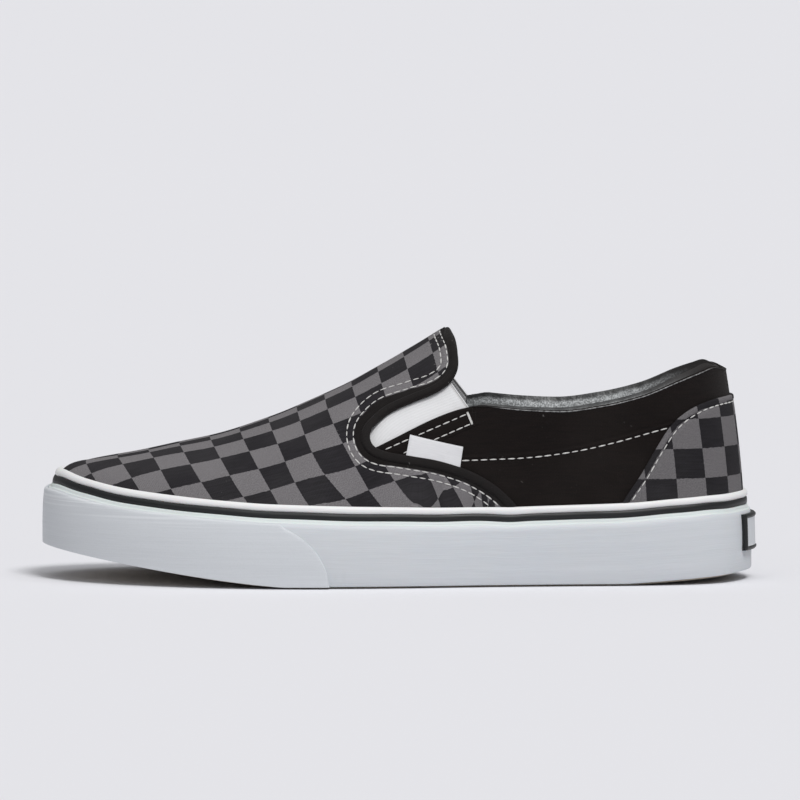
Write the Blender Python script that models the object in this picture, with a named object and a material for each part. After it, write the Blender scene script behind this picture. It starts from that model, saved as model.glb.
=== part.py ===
"""Slip-on sneaker, left shoe: a vulcanised canvas shoe with elastic gores and a tall rubber side tape.

The toe points along -X, the outer (lateral) side of the foot is -Y, and +Z is up. The shoe
stands on z = 0, and the origin is the middle of its bounding box's base. Lengths are in metres.

Every piece follows one form, the last: a ring of sections round the foot, each a single
Bezier arc from the edge of the sole to the instep ridge or, behind the throat, to the ankle.
"""

import math

import bmesh
import bpy
import numpy as np
from mathutils import Matrix

# Driving sizes of the whole shoe
SOLE_LENGTH = 0.2865
BALL_WIDTH = 0.108
TAB_HEIGHT = 0.1020
TOE_SPRING = 0.0140
HEEL_SPRING = 0.0036

# Sole
OUTSOLE_THICKNESS = 0.0065
TREAD_DEPTH = 0.0020
TREAD_PITCH = 0.0140
TREAD_LUG = 0.0104
TREAD_RIM = 0.0075
TREAD_WRAP = 0.0008
INSOLE_THICKNESS = 0.0045
INSOLE_CUP = 0.0025
INSOLE_CLEAR = 0.0008

# Side tape, its line, and the rubber laid over it
TAPE_THICKNESS = 0.0034
TAPE_STEP = 0.0010
TAPE_PIPING = 0.0030
TAPE_PIPING_BULGE = 0.0005
STRIPE_WIDTH = 0.0027
STRIPE_DEPTH = 0.0007
TAPE_LEDGE = 0.0020
BUMPER_THICKNESS = 0.0011
BUMPER_EDGE = 0.0006
BUMPER_TURN = 0.012
BUMPER_LEAST = 0.0003
HEEL_LABEL_WIDTH = 0.0290
HEEL_LABEL_HEIGHT = 0.0145
HEEL_LABEL_THICKNESS = 0.0020
HEEL_LABEL_DROP = 0.0092

# Upper
CANVAS_WALL = 0.0018
VAMP_STEP = 0.0009
COUNTER_THICKNESS = 0.0009
BINDING_WIDTH = 0.0036
BINDING_FOOT = 0.0022
SLOT_FOOT = 0.0020
BINDING_LIFT = 0.0008
BINDING_CROWN = 0.0003
BINDING_CROWN_RISE = 0.0006
BINDING_RAISED_FROM = -0.0085
BINDING_RAISED_OVER = 0.0070
COUNTER_FOOT = 0.0025
COUNTER_EASE = 0.04
GORE_THICKNESS = 0.0012
GORE_OVERLAP = 0.0050
COLLAR_PAD = 0.0060
COLLAR_DEPTH = 0.0250
COLLAR_LIP = 0.0008
LINING_CLEAR = 0.0005
LINING_FIRST = 0.007
LINING_EASE = 0.03
LINING_THIN = (0.45, 0.8, 1.0)
SIDE_LABEL_THICKNESS = 0.0007

# Gap between pieces that touch
GAP = 0.0003

# Mesh fineness
RING = 720
RISE = 160
SIDE_STATIONS = 30
TAPE_ROWS = 4
OPEN_ROWS = 6
COUNTER_ROWS = 5
BAND_SHARES = (1.0, 0.66, 0.33, 0.0)
BINDING_STATIONS = 26
BINDING_SIDES = 8

# The sole's outline from above. along: share of SOLE_LENGTH from the toe.
# across: share of BALL_WIDTH from the shoe's axis, lateral side negative.
SOLE_OUTLINE = (
    (1.000, -0.005),
    (0.978, -0.190),
    (0.930, -0.310),
    (0.850, -0.362),
    (0.740, -0.388),
    (0.625, -0.422),
    (0.505, -0.474),
    (0.385, -0.500),
    (0.275, -0.482),
    (0.180, -0.418),
    (0.095, -0.308),
    (0.030, -0.150),
    (0.000, 0.072),
    (0.030, 0.285),
    (0.095, 0.410),
    (0.185, 0.480),
    (0.300, 0.500),
    (0.415, 0.472),
    (0.535, 0.402),
    (0.655, 0.352),
    (0.770, 0.342),
    (0.865, 0.336),
    (0.935, 0.290),
    (0.980, 0.175),
)

# The line that the tops of the sections follow: the instep ridge, then the ankle.
# along: share of SOLE_LENGTH. height: share of TAB_HEIGHT. centre and half_width:
# shares of BALL_WIDTH. turn: angle of the wall's upper end from level, in degrees.
# lower_pull and upper_pull: how far each end of the arc holds its direction, as
# shares of the straight line between the ends.
TOP_LINE = (
    # along height centre half_width turn lower_pull upper_pull
    (0.075, 0.461, 0.060, 0.000, 0.0, 0.70, 0.50),
    (0.135, 0.490, 0.062, 0.000, 0.0, 0.64, 0.47),
    (0.190, 0.525, 0.064, 0.000, 0.0, 0.58, 0.45),
    (0.246, 0.560, 0.064, 0.000, 0.0, 0.54, 0.43),
    (0.303, 0.612, 0.062, 0.000, 0.0, 0.51, 0.41),
    (0.359, 0.675, 0.058, 0.000, 0.0, 0.48, 0.39),
    (0.416, 0.744, 0.052, 0.000, 0.0, 0.46, 0.37),
    (0.472, 0.832, 0.044, 0.000, 0.0, 0.43, 0.34),
    (0.529, 0.925, 0.034, 0.004, 4.0, 0.40, 0.31),
    (0.567, 0.989, 0.026, 0.016, 10.0, 0.38, 0.29),
    (0.627, 1.064, 0.014, 0.072, 34.0, 0.37, 0.28),
    (0.695, 1.098, 0.004, 0.150, 62.0, 0.38, 0.30),
    (0.765, 1.100, 0.000, 0.208, 78.0, 0.39, 0.31),
    (0.845, 1.100, 0.000, 0.222, 82.0, 0.39, 0.29),
    (0.947, 1.100, 0.000, 0.170, 80.0, 0.39, 0.27),
)
ANKLE_ROUNDING = 0.085
THROAT_END = 0.575

# Height of the side tape's top edge, as a share of TAB_HEIGHT.
TAPE_TOP = (
    (0.000, 0.431),
    (0.035, 0.416),
    (0.065, 0.396),
    (0.125, 0.369),
    (0.185, 0.352),
    (0.245, 0.337),
    (0.335, 0.324),
    (0.445, 0.319),
    (0.605, 0.313),
    (0.725, 0.319),
    (0.835, 0.329),
    (0.895, 0.342),
    (0.950, 0.351),
    (1.000, 0.354),
)

# Where the sole leaves the floor, toe and heel, and how fast, as shares of SOLE_LENGTH.
TOE_LIFT_FROM = 0.340
TOE_LIFT_POWER = 1.25
HEEL_LIFT_FROM = 0.820
HEEL_LIFT_POWER = 1.1

# Rear edge of the vamp seen from the side, from the throat down to the sole.
# along: share of SOLE_LENGTH. height: share of TAB_HEIGHT.
VAMP_EDGE = (
    (0.5690, 1.012),
    (0.5755, 0.975),
    (0.5815, 0.935),
    (0.5845, 0.873),
    (0.5810, 0.829),
    (0.5705, 0.789),
    (0.5500, 0.752),
    (0.5210, 0.720),
    (0.4880, 0.679),
    (0.4695, 0.636),
    (0.4600, 0.593),
    (0.4650, 0.554),
    (0.4840, 0.530),
    (0.5160, 0.515),
    (0.5580, 0.494),
    (0.6010, 0.455),
    (0.6360, 0.399),
    (0.6610, 0.335),
    (0.6750, 0.282),
)

# Front edge of the quarter, from the slot's foot to the collar.
QUARTER_FRONT = ((0.4670, 0.551), (0.6010, 0.710))

# Collar line, from the quarter's corner back to the heel.
COLLAR_LINE = (
    (0.6010, 0.712),
    (0.6180, 0.713),
    (0.6440, 0.706),
    (0.6750, 0.698),
    (0.7280, 0.692),
    (0.7850, 0.711),
    (0.8410, 0.747),
    (0.8980, 0.809),
    (0.9260, 0.837),
    (0.9490, 0.858),
    (1.0200, 0.866),
)
LINING_START = 0.623

# End of the toe's second rubber layer, from its top edge down to the sole.
BUMPER_END = (
    (0.339, 0.243),
    (0.358, 0.212),
    (0.376, 0.171),
    (0.389, 0.125),
    (0.398, 0.072),
    (0.403, 0.010),
)

# Top edge of the elastic gore, front to back, and how far it runs under its neighbours.
GORE_RISE = 0.284
GORE_TOP = ((0.5755, 0.797), (0.5995, 0.707))

# Front edge of the heel overlay, from the sole up and back.
COUNTER_EDGE = (
    (0.8080, 0.293),
    (0.8225, 0.359),
    (0.8415, 0.437),
    (0.8630, 0.540),
    (0.8870, 0.638),
    (0.9180, 0.700),
    (0.9550, 0.729),
    (1.0200, 0.738),
)

# Side label's upper corners and its lower edge's ends, seen from the side.
SIDE_LABEL = ((0.5165, 0.594), (0.5910, 0.548), (0.5865, 0.442), (0.5105, 0.492))

# Colours
CANVAS_DARK = (0.018, 0.018, 0.020)
CANVAS_GREY = (0.085, 0.080, 0.083)
RUBBER_WHITE = (0.74, 0.76, 0.78)
RUBBER_BLACK = (0.015, 0.016, 0.018)
ELASTIC_WHITE = (0.72, 0.72, 0.73)
LINING_GREY = (0.060, 0.062, 0.065)
LABEL_WHITE = (0.74, 0.74, 0.76)
FOOTBED_GREY = (0.045, 0.046, 0.050)


def clear_scene():
    for obj in list(bpy.data.objects):
        bpy.data.objects.remove(obj, do_unlink=True)


def material(name, colour, roughness):
    """A plain Principled material of one colour."""
    made = bpy.data.materials.new(name)
    made.use_nodes = True
    shader = made.node_tree.nodes["Principled BSDF"]
    shader.inputs["Base Color"].default_value = (*colour, 1.0)
    shader.inputs["Roughness"].default_value = roughness
    shader.inputs["Metallic"].default_value = 0.0
    return made


def closed_spline(points, count):
    """count points on the smooth closed curve through the given ones: a periodic cubic
    spline on the lengths between them."""
    points = np.array(points, float)
    n = len(points)
    step = np.linalg.norm(np.roll(points, -1, 0) - points, axis=1)
    before = np.roll(step, 1)
    system = np.zeros((n, n))
    for i in range(n):
        system[i, i] += 2 * (before[i] + step[i])
        system[i, i - 1] += before[i]
        system[i, (i + 1) % n] += step[i]
    ahead = (np.roll(points, -1, 0) - points) / step[:, None]
    behind = np.roll(ahead, 1, 0)
    bend = np.linalg.solve(system, 6 * (ahead - behind))
    knots = np.concatenate([[0], np.cumsum(step)])
    where = np.linspace(0, knots[-1], count, endpoint=False)
    i = np.clip(np.searchsorted(knots, where, side="right") - 1, 0, n - 1)
    h, j = step[i], (i + 1) % n
    a = ((knots[i + 1] - where) / h)[:, None]
    b = 1 - a
    h = h[:, None]
    return a * points[i] + b * points[j] + ((a**3 - a) * bend[i] + (b**3 - b) * bend[j]) * h**2 / 6


def open_spline(rows, where):
    """Smooth curve through a table's rows, read at the places given: the first column is the
    variable, and each other column is a monotone cubic, so that a flat stretch stays flat."""
    rows = np.array(rows, float)
    x, y = rows[:, 0], rows[:, 1:]
    step = np.diff(x)
    slope = np.diff(y, axis=0) / step[:, None]
    tangent = np.zeros_like(y)
    tangent[0], tangent[-1] = slope[0], slope[-1]
    same_way = slope[1:] * slope[:-1] > 0
    w1 = (2 * step[1:] + step[:-1])[:, None]
    w2 = (step[1:] + 2 * step[:-1])[:, None]
    safe = np.where(same_way, slope[1:], 1.0), np.where(same_way, slope[:-1], 1.0)
    tangent[1:-1] = np.where(same_way, (w1 + w2) / (w1 / safe[1] + w2 / safe[0]), 0.0)
    where = np.clip(np.asarray(where, float), x[0], x[-1])
    i = np.clip(np.searchsorted(x, where, side="right") - 1, 0, len(x) - 2)
    h = step[i]
    t = ((where - x[i]) / h)[..., None]
    h = h[..., None]
    return (
        (2 * t**3 - 3 * t**2 + 1) * y[i]
        + (t**3 - 2 * t**2 + t) * h * tangent[i]
        + (3 * t**2 - 2 * t**3) * y[i + 1]
        + (t**3 - t**2) * h * tangent[i + 1]
    )


def smooth_path(points, count):
    """count points, evenly spaced, on a smooth open curve through the given ones."""
    points = np.array(points, float)
    step = np.concatenate([[0], np.cumsum(np.linalg.norm(np.diff(points, axis=0), axis=1))])
    padded = np.concatenate([2 * points[:1] - points[1:2], points, 2 * points[-1:] - points[-2:-1]])
    fine = np.linspace(0, step[-1], 40 * len(points))
    i = np.clip(np.searchsorted(step, fine, side="right") - 1, 0, len(points) - 2)
    t = ((fine - step[i]) / (step[i + 1] - step[i]))[:, None]
    p0, p1, p2, p3 = (padded[i + k] for k in range(4))
    curve = 0.5 * (
        2 * p1 + (p2 - p0) * t + (2 * p0 - 5 * p1 + 4 * p2 - p3) * t**2 + (3 * p1 - p0 - 3 * p2 + p3) * t**3
    )
    length = np.concatenate([[0], np.cumsum(np.linalg.norm(np.diff(curve, axis=0), axis=1))])
    even = np.linspace(0, length[-1], count)
    return np.stack([np.interp(even, length, curve[:, k]) for k in range(curve.shape[1])], axis=1)


def bottom_height(along):
    """Height of the sole's underside above the floor, at a share of SOLE_LENGTH."""
    along = np.asarray(along, float)
    toe = np.clip((TOE_LIFT_FROM - along) / TOE_LIFT_FROM, 0, 1) ** TOE_LIFT_POWER
    heel = np.clip((along - HEEL_LIFT_FROM) / (1 - HEEL_LIFT_FROM), 0, 1) ** HEEL_LIFT_POWER
    return TOE_SPRING * toe + HEEL_SPRING * heel


class Outline:
    """The sole's outline, read by an angle: 0 at the toe's tip, pi at the heel's back along
    the lateral side, and on to two pi along the medial side."""

    def __init__(self):
        curve = closed_spline(SOLE_OUTLINE, 4000) * (SOLE_LENGTH, BALL_WIDTH)
        self.start = curve[:, 0].min()
        self.length = curve[:, 0].max() - self.start
        self.middle = (curve[:, 1].min() + curve[:, 1].max()) / 2
        tip, back = curve[:, 0].argmin(), curve[:, 0].argmax()
        curve = np.roll(curve, -back, axis=0)
        tip = (tip - back) % len(curve)
        lateral = curve[: tip + 1][::-1]
        medial = np.concatenate([curve[tip:], curve[:1]])[::-1]
        angle = [self._angle(side[:, 0]) for side in (lateral, medial)]
        angle = np.concatenate([angle[0], 2 * math.pi - angle[1][1:]])
        points = np.concatenate([lateral, medial[1:]])
        order = np.argsort(angle, kind="stable")
        self.angle, self.points = angle[order], points[order]

    def _angle(self, x):
        share = np.clip((x - self.start) / self.length, 0, 1)
        return np.arccos(1 - 2 * share)

    def read(self, angle):
        angle = np.mod(angle, 2 * math.pi)
        return np.stack([np.interp(angle, self.angle, self.points[:, k]) for k in range(2)], -1)

    def inset(self, angle, distance):
        """Points inside the outline by a distance, square to it."""
        small = 0.01
        run = self.read(angle + small) - self.read(angle - small)
        run /= np.linalg.norm(run, axis=-1, keepdims=True)
        inward = np.stack([-run[..., 1], run[..., 0]], -1)
        return self.read(angle) + inward * distance


def ring_smoothed(values, passes=2):
    for _ in range(passes):
        values = (np.roll(values, 1, 0) + 2 * values + np.roll(values, -1, 0)) / 4
    return values


class Last:
    """The shoe's form as a fine grid: ring angle by rise, from the sole's edge to the top."""

    def __init__(self, outline):
        self.angles = np.arange(RING) * 2 * math.pi / RING
        self.rises = np.linspace(0, 1, RISE)
        edge = ring_smoothed(outline.inset(self.angles, TAPE_THICKNESS + GAP))
        base_height = bottom_height(edge[:, 0] / SOLE_LENGTH) + OUTSOLE_THICKNESS + GAP
        base = np.column_stack([edge, base_height])
        share = (1 - np.cos(self.angles)) / 2
        along = TOP_LINE[0][0] + share * (TOP_LINE[-1][0] - TOP_LINE[0][0])
        height, centre, half, turn, lower, upper = open_spline(TOP_LINE, along).T
        rounding = np.clip((along - TOP_LINE[-1][0] + ANKLE_ROUNDING) / ANKLE_ROUNDING, 0, 1)
        half = half * np.sqrt(np.clip(1 - rounding**2, 0, 1))
        side = np.where(self.angles < math.pi, -1.0, 1.0)
        top = np.column_stack(
            [along * SOLE_LENGTH, (centre + side * half) * BALL_WIDTH, height * TAB_HEIGHT]
        )
        ridge_slope = self._ridge_slope(along)
        across = top[:, :2] - base[:, :2]
        across /= np.maximum(np.linalg.norm(across, axis=1, keepdims=True), 1e-6)
        turn = np.radians(turn)
        climb = across[:, 0] * ridge_slope * np.cos(turn)
        arrive = np.column_stack([across * np.cos(turn)[:, None], np.sin(turn) + climb])
        arrive /= np.linalg.norm(arrive, axis=1, keepdims=True)
        chord = np.linalg.norm(top - base, axis=1, keepdims=True)
        lower_end = base + np.array([0, 0, 1.0]) * chord * lower[:, None]
        upper_end = top - arrive * chord * upper[:, None]
        t = self.rises[None, :, None]
        self.points = (
            base[:, None] * (1 - t) ** 3
            + 3 * lower_end[:, None] * t * (1 - t) ** 2
            + 3 * upper_end[:, None] * t**2 * (1 - t)
            + top[:, None] * t**3
        )
        self.normals = self._normals(ridge_slope, half < 1e-5)
        steps = np.linalg.norm(np.diff(self.points, axis=1), axis=2)
        climbed = np.concatenate([np.zeros((RING, 1)), np.cumsum(steps, axis=1)], axis=1)
        self.climbed = climbed[..., None]

    def _ridge_slope(self, along):
        small = 0.004
        ahead = open_spline(TOP_LINE, along + small)[:, 0]
        behind = open_spline(TOP_LINE, along - small)[:, 0]
        return (ahead - behind) * TAB_HEIGHT / (2 * small * SOLE_LENGTH)

    def _normals(self, ridge_slope, on_ridge):
        around = np.roll(self.points, -1, 0) - np.roll(self.points, 1, 0)
        normal = np.cross(around, np.gradient(self.points, axis=1))
        normal /= np.maximum(np.linalg.norm(normal, axis=2, keepdims=True), 1e-12)
        ridge = np.column_stack([-ridge_slope, np.zeros(RING), np.ones(RING)])
        ridge /= np.linalg.norm(ridge, axis=1, keepdims=True)
        normal[on_ridge, -1] = ridge[on_ridge]
        return normal

    def _read(self, grid, angle, rise):
        i = np.mod(np.asarray(angle, float) / (2 * math.pi) * RING, RING)
        j = np.clip(np.asarray(rise, float), 0, 1) * (RISE - 1)
        i0, j0 = np.floor(i).astype(int), np.minimum(np.floor(j).astype(int), RISE - 2)
        u, v = (i - i0)[..., None], (j - j0)[..., None]
        i0, i1 = i0 % RING, (i0 + 1) % RING
        below = grid[i0, j0] * (1 - u) + grid[i1, j0] * u
        above = grid[i0, j0 + 1] * (1 - u) + grid[i1, j0 + 1] * u
        return below * (1 - v) + above * v

    def normal(self, angle, rise):
        found = self._read(self.normals, angle, rise)
        return found / np.linalg.norm(found, axis=-1, keepdims=True)

    def at(self, angle, rise, out=0.0):
        """A place on the form, moved outwards by out."""
        return self._read(self.points, angle, rise) + self.normal(angle, rise) * np.asarray(out)[..., None]

    def edge(self, angle, inward=0.0):
        """The form's lower edge seen from above, moved inwards."""
        return self.at(angle, np.zeros_like(angle), -np.asarray(inward))[..., :2]

    def section(self, angle):
        where = np.full(RISE, angle)
        return self._read(self.points, where, self.rises), self._read(self.climbed, where, self.rises)[:, 0]

    def rise_at(self, angle, level):
        """The rise at which a section first reaches a side-view line."""
        points, _ = self.section(angle)
        over = points[:, 2] - level(points[:, 0] / SOLE_LENGTH)
        if over.max() < 0:
            return 1.0
        first = int(np.argmax(over >= 0))
        if first == 0:
            return 0.0
        share = over[first - 1] / (over[first - 1] - over[first])
        return float(self.rises[first - 1] + share * (self.rises[first] - self.rises[first - 1]))

    def rise_below(self, angle, rise, drop):
        """The rise at a length of surface below another rise, and what is left of that length
        under the form's lower edge."""
        _, climbed = self.section(angle)
        place = float(np.interp(rise, self.rises, climbed)) - drop
        return float(np.interp(place, climbed, self.rises)), max(0.0, -place)

    def tape_top(self, angle):
        return self.rise_at(angle, side_line(TAPE_TOP))

    def ledge_rise(self, angle):
        """The rise at the side tape's ledge, where its main band starts."""
        ledge = TAPE_PIPING + STRIPE_WIDTH + TAPE_LEDGE + 0.0003
        return self.rise_below(angle, self.tape_top(angle), ledge)[0]

    def base_height(self, x):
        return float(bottom_height(x / SOLE_LENGTH)) + OUTSOLE_THICKNESS + GAP

    def band(self, angle, drop, out):
        """A place on the side tape: a drop below its top edge and a distance out of the form."""
        rise, left = self.rise_below(angle, self.tape_top(angle), drop)
        return self.at(angle, rise, out) - np.array([0, 0, left])

    def tape_foot(self, angle, out):
        """A place at the side tape's lower edge."""
        return self.at(angle, 0.0, out) - np.array([0, 0, OUTSOLE_THICKNESS + GAP - TREAD_WRAP])

    def on_side(self, places, side):
        """Ring angles and rises of places given by x and z, on the side given by its sign."""
        half = RING // 2
        ring = np.arange(half + 1) if side < 0 else (RING - np.arange(half + 1)) % RING
        grid = self.points[ring]
        rows = np.arange(half + 1)
        angles = rows * 2 * math.pi / RING
        found = []
        for x, z in places:
            over = grid[:, :, 2] >= z
            first = over.argmax(axis=1)
            before = np.maximum(first - 1, 0)
            low, high = grid[rows, before], grid[rows, first]
            share = (z - low[:, 2]) / np.maximum(high[:, 2] - low[:, 2], 1e-9)
            here = low[:, 0] + share * (high[:, 0] - low[:, 0])
            rise = (before + share) / (RISE - 1)
            use = over.any(axis=1) & (first > 0)
            found.append([np.interp(x, here[use], angles[use]), np.interp(x, here[use], rise[use])])
        angle, rise = np.array(found).T
        return (angle if side < 0 else 2 * math.pi - angle), rise


def side_line(rows):
    """A side-view table as a function: its height at a share of SOLE_LENGTH."""
    return lambda along: open_spline(rows, along)[..., 0] * TAB_HEIGHT


def side_points(rows):
    """A side-view table as places in x and z."""
    return np.array(rows, float) * (SOLE_LENGTH, TAB_HEIGHT)


class VampEdge:
    """The vamp's rear edge seen from the side, read by the length from its foremost place:
    negative up to the throat, positive down to the sole."""

    def __init__(self):
        self.path = smooth_path(side_points(VAMP_EDGE), 600)
        length = np.concatenate([[0], np.cumsum(np.linalg.norm(np.diff(self.path, axis=0), axis=1))])
        self.length = length - length[self.path[:, 0].argmin()]
        run = np.gradient(self.path, axis=0)
        run /= np.linalg.norm(run, axis=1, keepdims=True)
        self.forward = np.column_stack([run[:, 1], -run[:, 0]])

    def at(self, length, forward=0.0):
        moved = self.path + self.forward * forward
        return np.stack([np.interp(length, self.length, moved[:, k]) for k in range(2)], axis=-1)

    def line(self, first, last, count, forward=0.0):
        return self.at(np.linspace(first, last, count), forward)


class Shape:
    """Points and faces gathered for one mesh."""

    def __init__(self):
        self.points, self.faces = [], []

    def add(self, points):
        """Adds a block of points and gives their numbers in the same layout."""
        points = np.asarray(points, float)
        numbers = np.arange(points[..., 0].size).reshape(points.shape[:-1]) + len(self.points)
        self.points.extend(points.reshape(-1, 3))
        return numbers

    def sheet(self, numbers):
        """Triangles between neighbouring rows, all split the same way."""
        for near, far in zip(numbers[:-1], numbers[1:]):
            for i in range(len(near) - 1):
                self.faces.append((near[i], near[i + 1], far[i + 1]))
                self.faces.append((near[i], far[i + 1], far[i]))

    def tube(self, sections, closed):
        """A solid through sections, either joined end to end or capped."""
        numbers = self.add(sections)
        numbers = np.concatenate([numbers, numbers[:, :1]], axis=1)
        if closed:
            self.sheet(np.concatenate([numbers, numbers[:1]]))
            return
        self.sheet(numbers)
        self.faces.append(tuple(numbers[0, :-1]))
        self.faces.append(tuple(numbers[-1, :-1]))


def tidied(bm):
    bmesh.ops.remove_doubles(bm, verts=bm.verts, dist=1e-6)
    bmesh.ops.dissolve_degenerate(bm, edges=bm.edges, dist=1e-7)
    bmesh.ops.recalc_face_normals(bm, faces=bm.faces)
    if bm.calc_volume(signed=True) < 0:
        bmesh.ops.reverse_faces(bm, faces=bm.faces)


def made_object(name, mesh):
    obj = bpy.data.objects.new(name, mesh)
    bpy.context.scene.collection.objects.link(obj)
    return obj


def solid(name, shape, finish=None):
    """An object from gathered points and faces."""
    mesh = bpy.data.meshes.new(name)
    bm = bmesh.new()
    corners = [bm.verts.new(point) for point in shape.points]
    bm.verts.ensure_lookup_table()
    for face in shape.faces:
        around = dict.fromkeys(face)
        if len(around) > 2:
            bm.faces.new([corners[i] for i in around])
    tidied(bm)
    bm.to_mesh(mesh)
    bm.free()
    obj = made_object(name, mesh)
    if finish:
        mesh.materials.append(finish)
    return obj


def combined(obj, other, operation, flatten=False):
    """Applies a Boolean to the first object and removes the second."""
    modifier = obj.modifiers.new(operation.title(), "BOOLEAN")
    modifier.operation = operation
    modifier.solver = "EXACT"
    modifier.object = other
    graph = bpy.context.evaluated_depsgraph_get()
    mesh = bpy.data.meshes.new_from_object(obj.evaluated_get(graph))
    obj.modifiers.clear()
    obj.data = mesh
    bpy.data.objects.remove(other, do_unlink=True)
    bm = bmesh.new()
    bm.from_mesh(mesh)
    bmesh.ops.remove_doubles(bm, verts=bm.verts, dist=2e-6)
    if flatten:
        bmesh.ops.dissolve_limit(bm, angle_limit=math.radians(0.4), verts=bm.verts, edges=bm.edges)
    bmesh.ops.triangulate(bm, faces=bm.faces)
    tidied(bm)
    bm.to_mesh(mesh)
    bm.free()
    return obj


def side_prism(name, outline, near=-BALL_WIDTH, far=BALL_WIDTH):
    """A prism across the shoe over a side-view outline."""
    shape = Shape()
    sections = [[(x, y, z) for x, z in outline] for y in (near, far)]
    shape.tube(sections, closed=False)
    return solid(name, shape)


def ring_angles():
    return np.arange(2 * SIDE_STATIONS) * math.pi / SIDE_STATIONS


def throat_station():
    """The first ring station past the throat, from where the form is open on top."""
    angles = ring_angles()[: SIDE_STATIONS + 1]
    along = TOP_LINE[0][0] + (1 - np.cos(angles)) / 2 * (TOP_LINE[-1][0] - TOP_LINE[0][0])
    return int(np.argmax(along > THROAT_END))


def shell(name, last, inner, outer, rows):
    """The form between two offsets, closed over the instep: rows gives a section's rises."""
    angles = ring_angles()
    rises = np.array([rows(angle) for angle in angles])
    spread = np.repeat(angles[:, None], rises.shape[1], axis=1)
    shape = Shape()
    throat = throat_station()
    faces = [shape.add(last.at(spread, rises, out)) for out in (inner, outer)]
    for side in faces:
        shape.sheet(np.concatenate([side, side[:1]]))
        mirrored = side[(-np.arange(throat + 1)) % len(angles), -1]
        shape.sheet(np.array([side[: throat + 1, -1], mirrored]))
    shape.sheet(np.array([np.append(side[:, 0], side[0, 0]) for side in faces]))
    brim = slice(throat, len(angles) - throat + 1)
    shape.sheet(np.array([np.append(side[brim, -1], side[throat, -1]) for side in faces]))
    return solid(name, shape)


def wall_rows(last, angle):
    """Rises from the sole up, with a row at the side tape's top edge."""
    tape = last.tape_top(angle)
    low = tape * np.arange(TAPE_ROWS) / TAPE_ROWS
    high = tape + (1 - tape) * np.arange(OPEN_ROWS + 1) / OPEN_ROWS
    return np.concatenate([low, high])


def open_rows(last, angle, lift):
    """Rises above the side tape, the first lifted clear of its edge."""
    rises = wall_rows(last, angle)[TAPE_ROWS:]
    rises[0] = last.rise_below(angle, rises[0], -lift)[0]
    return rises


def upper(last, edge, finish):
    """The hollow canvas shell: a wall, one step thicker over the vamp, cut open at the collar
    and down both gore slots."""
    body = shell("upper", last, -CANVAS_WALL, 0.0, lambda a: wall_rows(last, a))
    layer = shell("vamp_layer", last, -CANVAS_WALL / 2, VAMP_STEP, lambda a: open_rows(last, a, GAP))
    strip = BINDING_WIDTH + GAP
    slot = side_points(QUARTER_FRONT)
    above_slot = (0, 0.04 * TAB_HEIGHT)
    through = slot[0] + (slot[1] - slot[0]) * np.array([[0.85], [0.45], [0.1]]) + above_slot
    behind = edge.line(-2.2 * SLOT_FOOT, -SLOT_FOOT, 2, strip - GAP)[:1]
    lower = edge.line(-SLOT_FOOT / 2, edge.length[-1], 26, strip)
    front = np.concatenate([
        side_points([(0.628, 1.40), (0.628, 0.84)]), through, behind, lower,
        side_points([(0.70, 0.10), (-0.07, 0.10), (-0.07, 1.40)]),
    ])
    layer = combined(layer, side_prism("vamp_side", front), "INTERSECT")
    body = combined(body, layer, "UNION")
    body = combined(body, side_prism("opening", opening_outline(edge, strip)), "DIFFERENCE")
    body.data.materials.clear()
    body.data.materials.append(finish)
    return body


def opening_outline(edge, strip):
    """Side view of all that is open: throat, gore slot and collar."""
    start = edge.at(edge.length[0], strip) + (edge.path[0] - edge.path[5]) * 30
    throat = edge.line(edge.length[0], -SLOT_FOOT, 24, strip)
    collar = smooth_path(side_points(COLLAR_LINE), 30)
    return np.concatenate([
        [(start[0], 1.5 * TAB_HEIGHT), start], throat, side_points(QUARTER_FRONT)[:1], collar,
        [(collar[-1][0], 1.5 * TAB_HEIGHT)],
    ])


def gore(name, last, edge, side, finish):
    """An elastic panel behind one slot, tucked under the vamp and the quarter."""
    under = BINDING_WIDTH + GORE_OVERLAP
    outer = -(CANVAS_WALL + GAP)
    panel = shell(name, last, outer - GORE_THICKNESS, outer, lambda a: wall_rows(last, a))
    top, slot = side_points(GORE_TOP), side_points(QUARTER_FRONT)
    run = (top[0] - top[1]) / np.linalg.norm(top[0] - top[1])
    down = np.array([run[0], -run[1]])[::-1] * (-1, 1)
    along = (slot[1] - slot[0]) / np.linalg.norm(slot[1] - slot[0])
    below = np.array([along[1], -along[0]]) * GORE_OVERLAP
    front = edge.line(-GORE_RISE * TAB_HEIGHT, 0.0, 12, under)
    outline = np.concatenate([
        [top[0] + run * 0.007], front, [slot[0] + below - along * 0.002, slot[1] + below - along * 0.001],
        [top[1] + (along * 0.001)],
    ])
    near, far = (-BALL_WIDTH, 0.0) if side < 0 else (0.0, BALL_WIDTH)
    panel = combined(panel, side_prism("gore_side", outline, near, far), "INTERSECT")
    panel.data.materials.clear()
    panel.data.materials.append(finish)
    return panel


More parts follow.
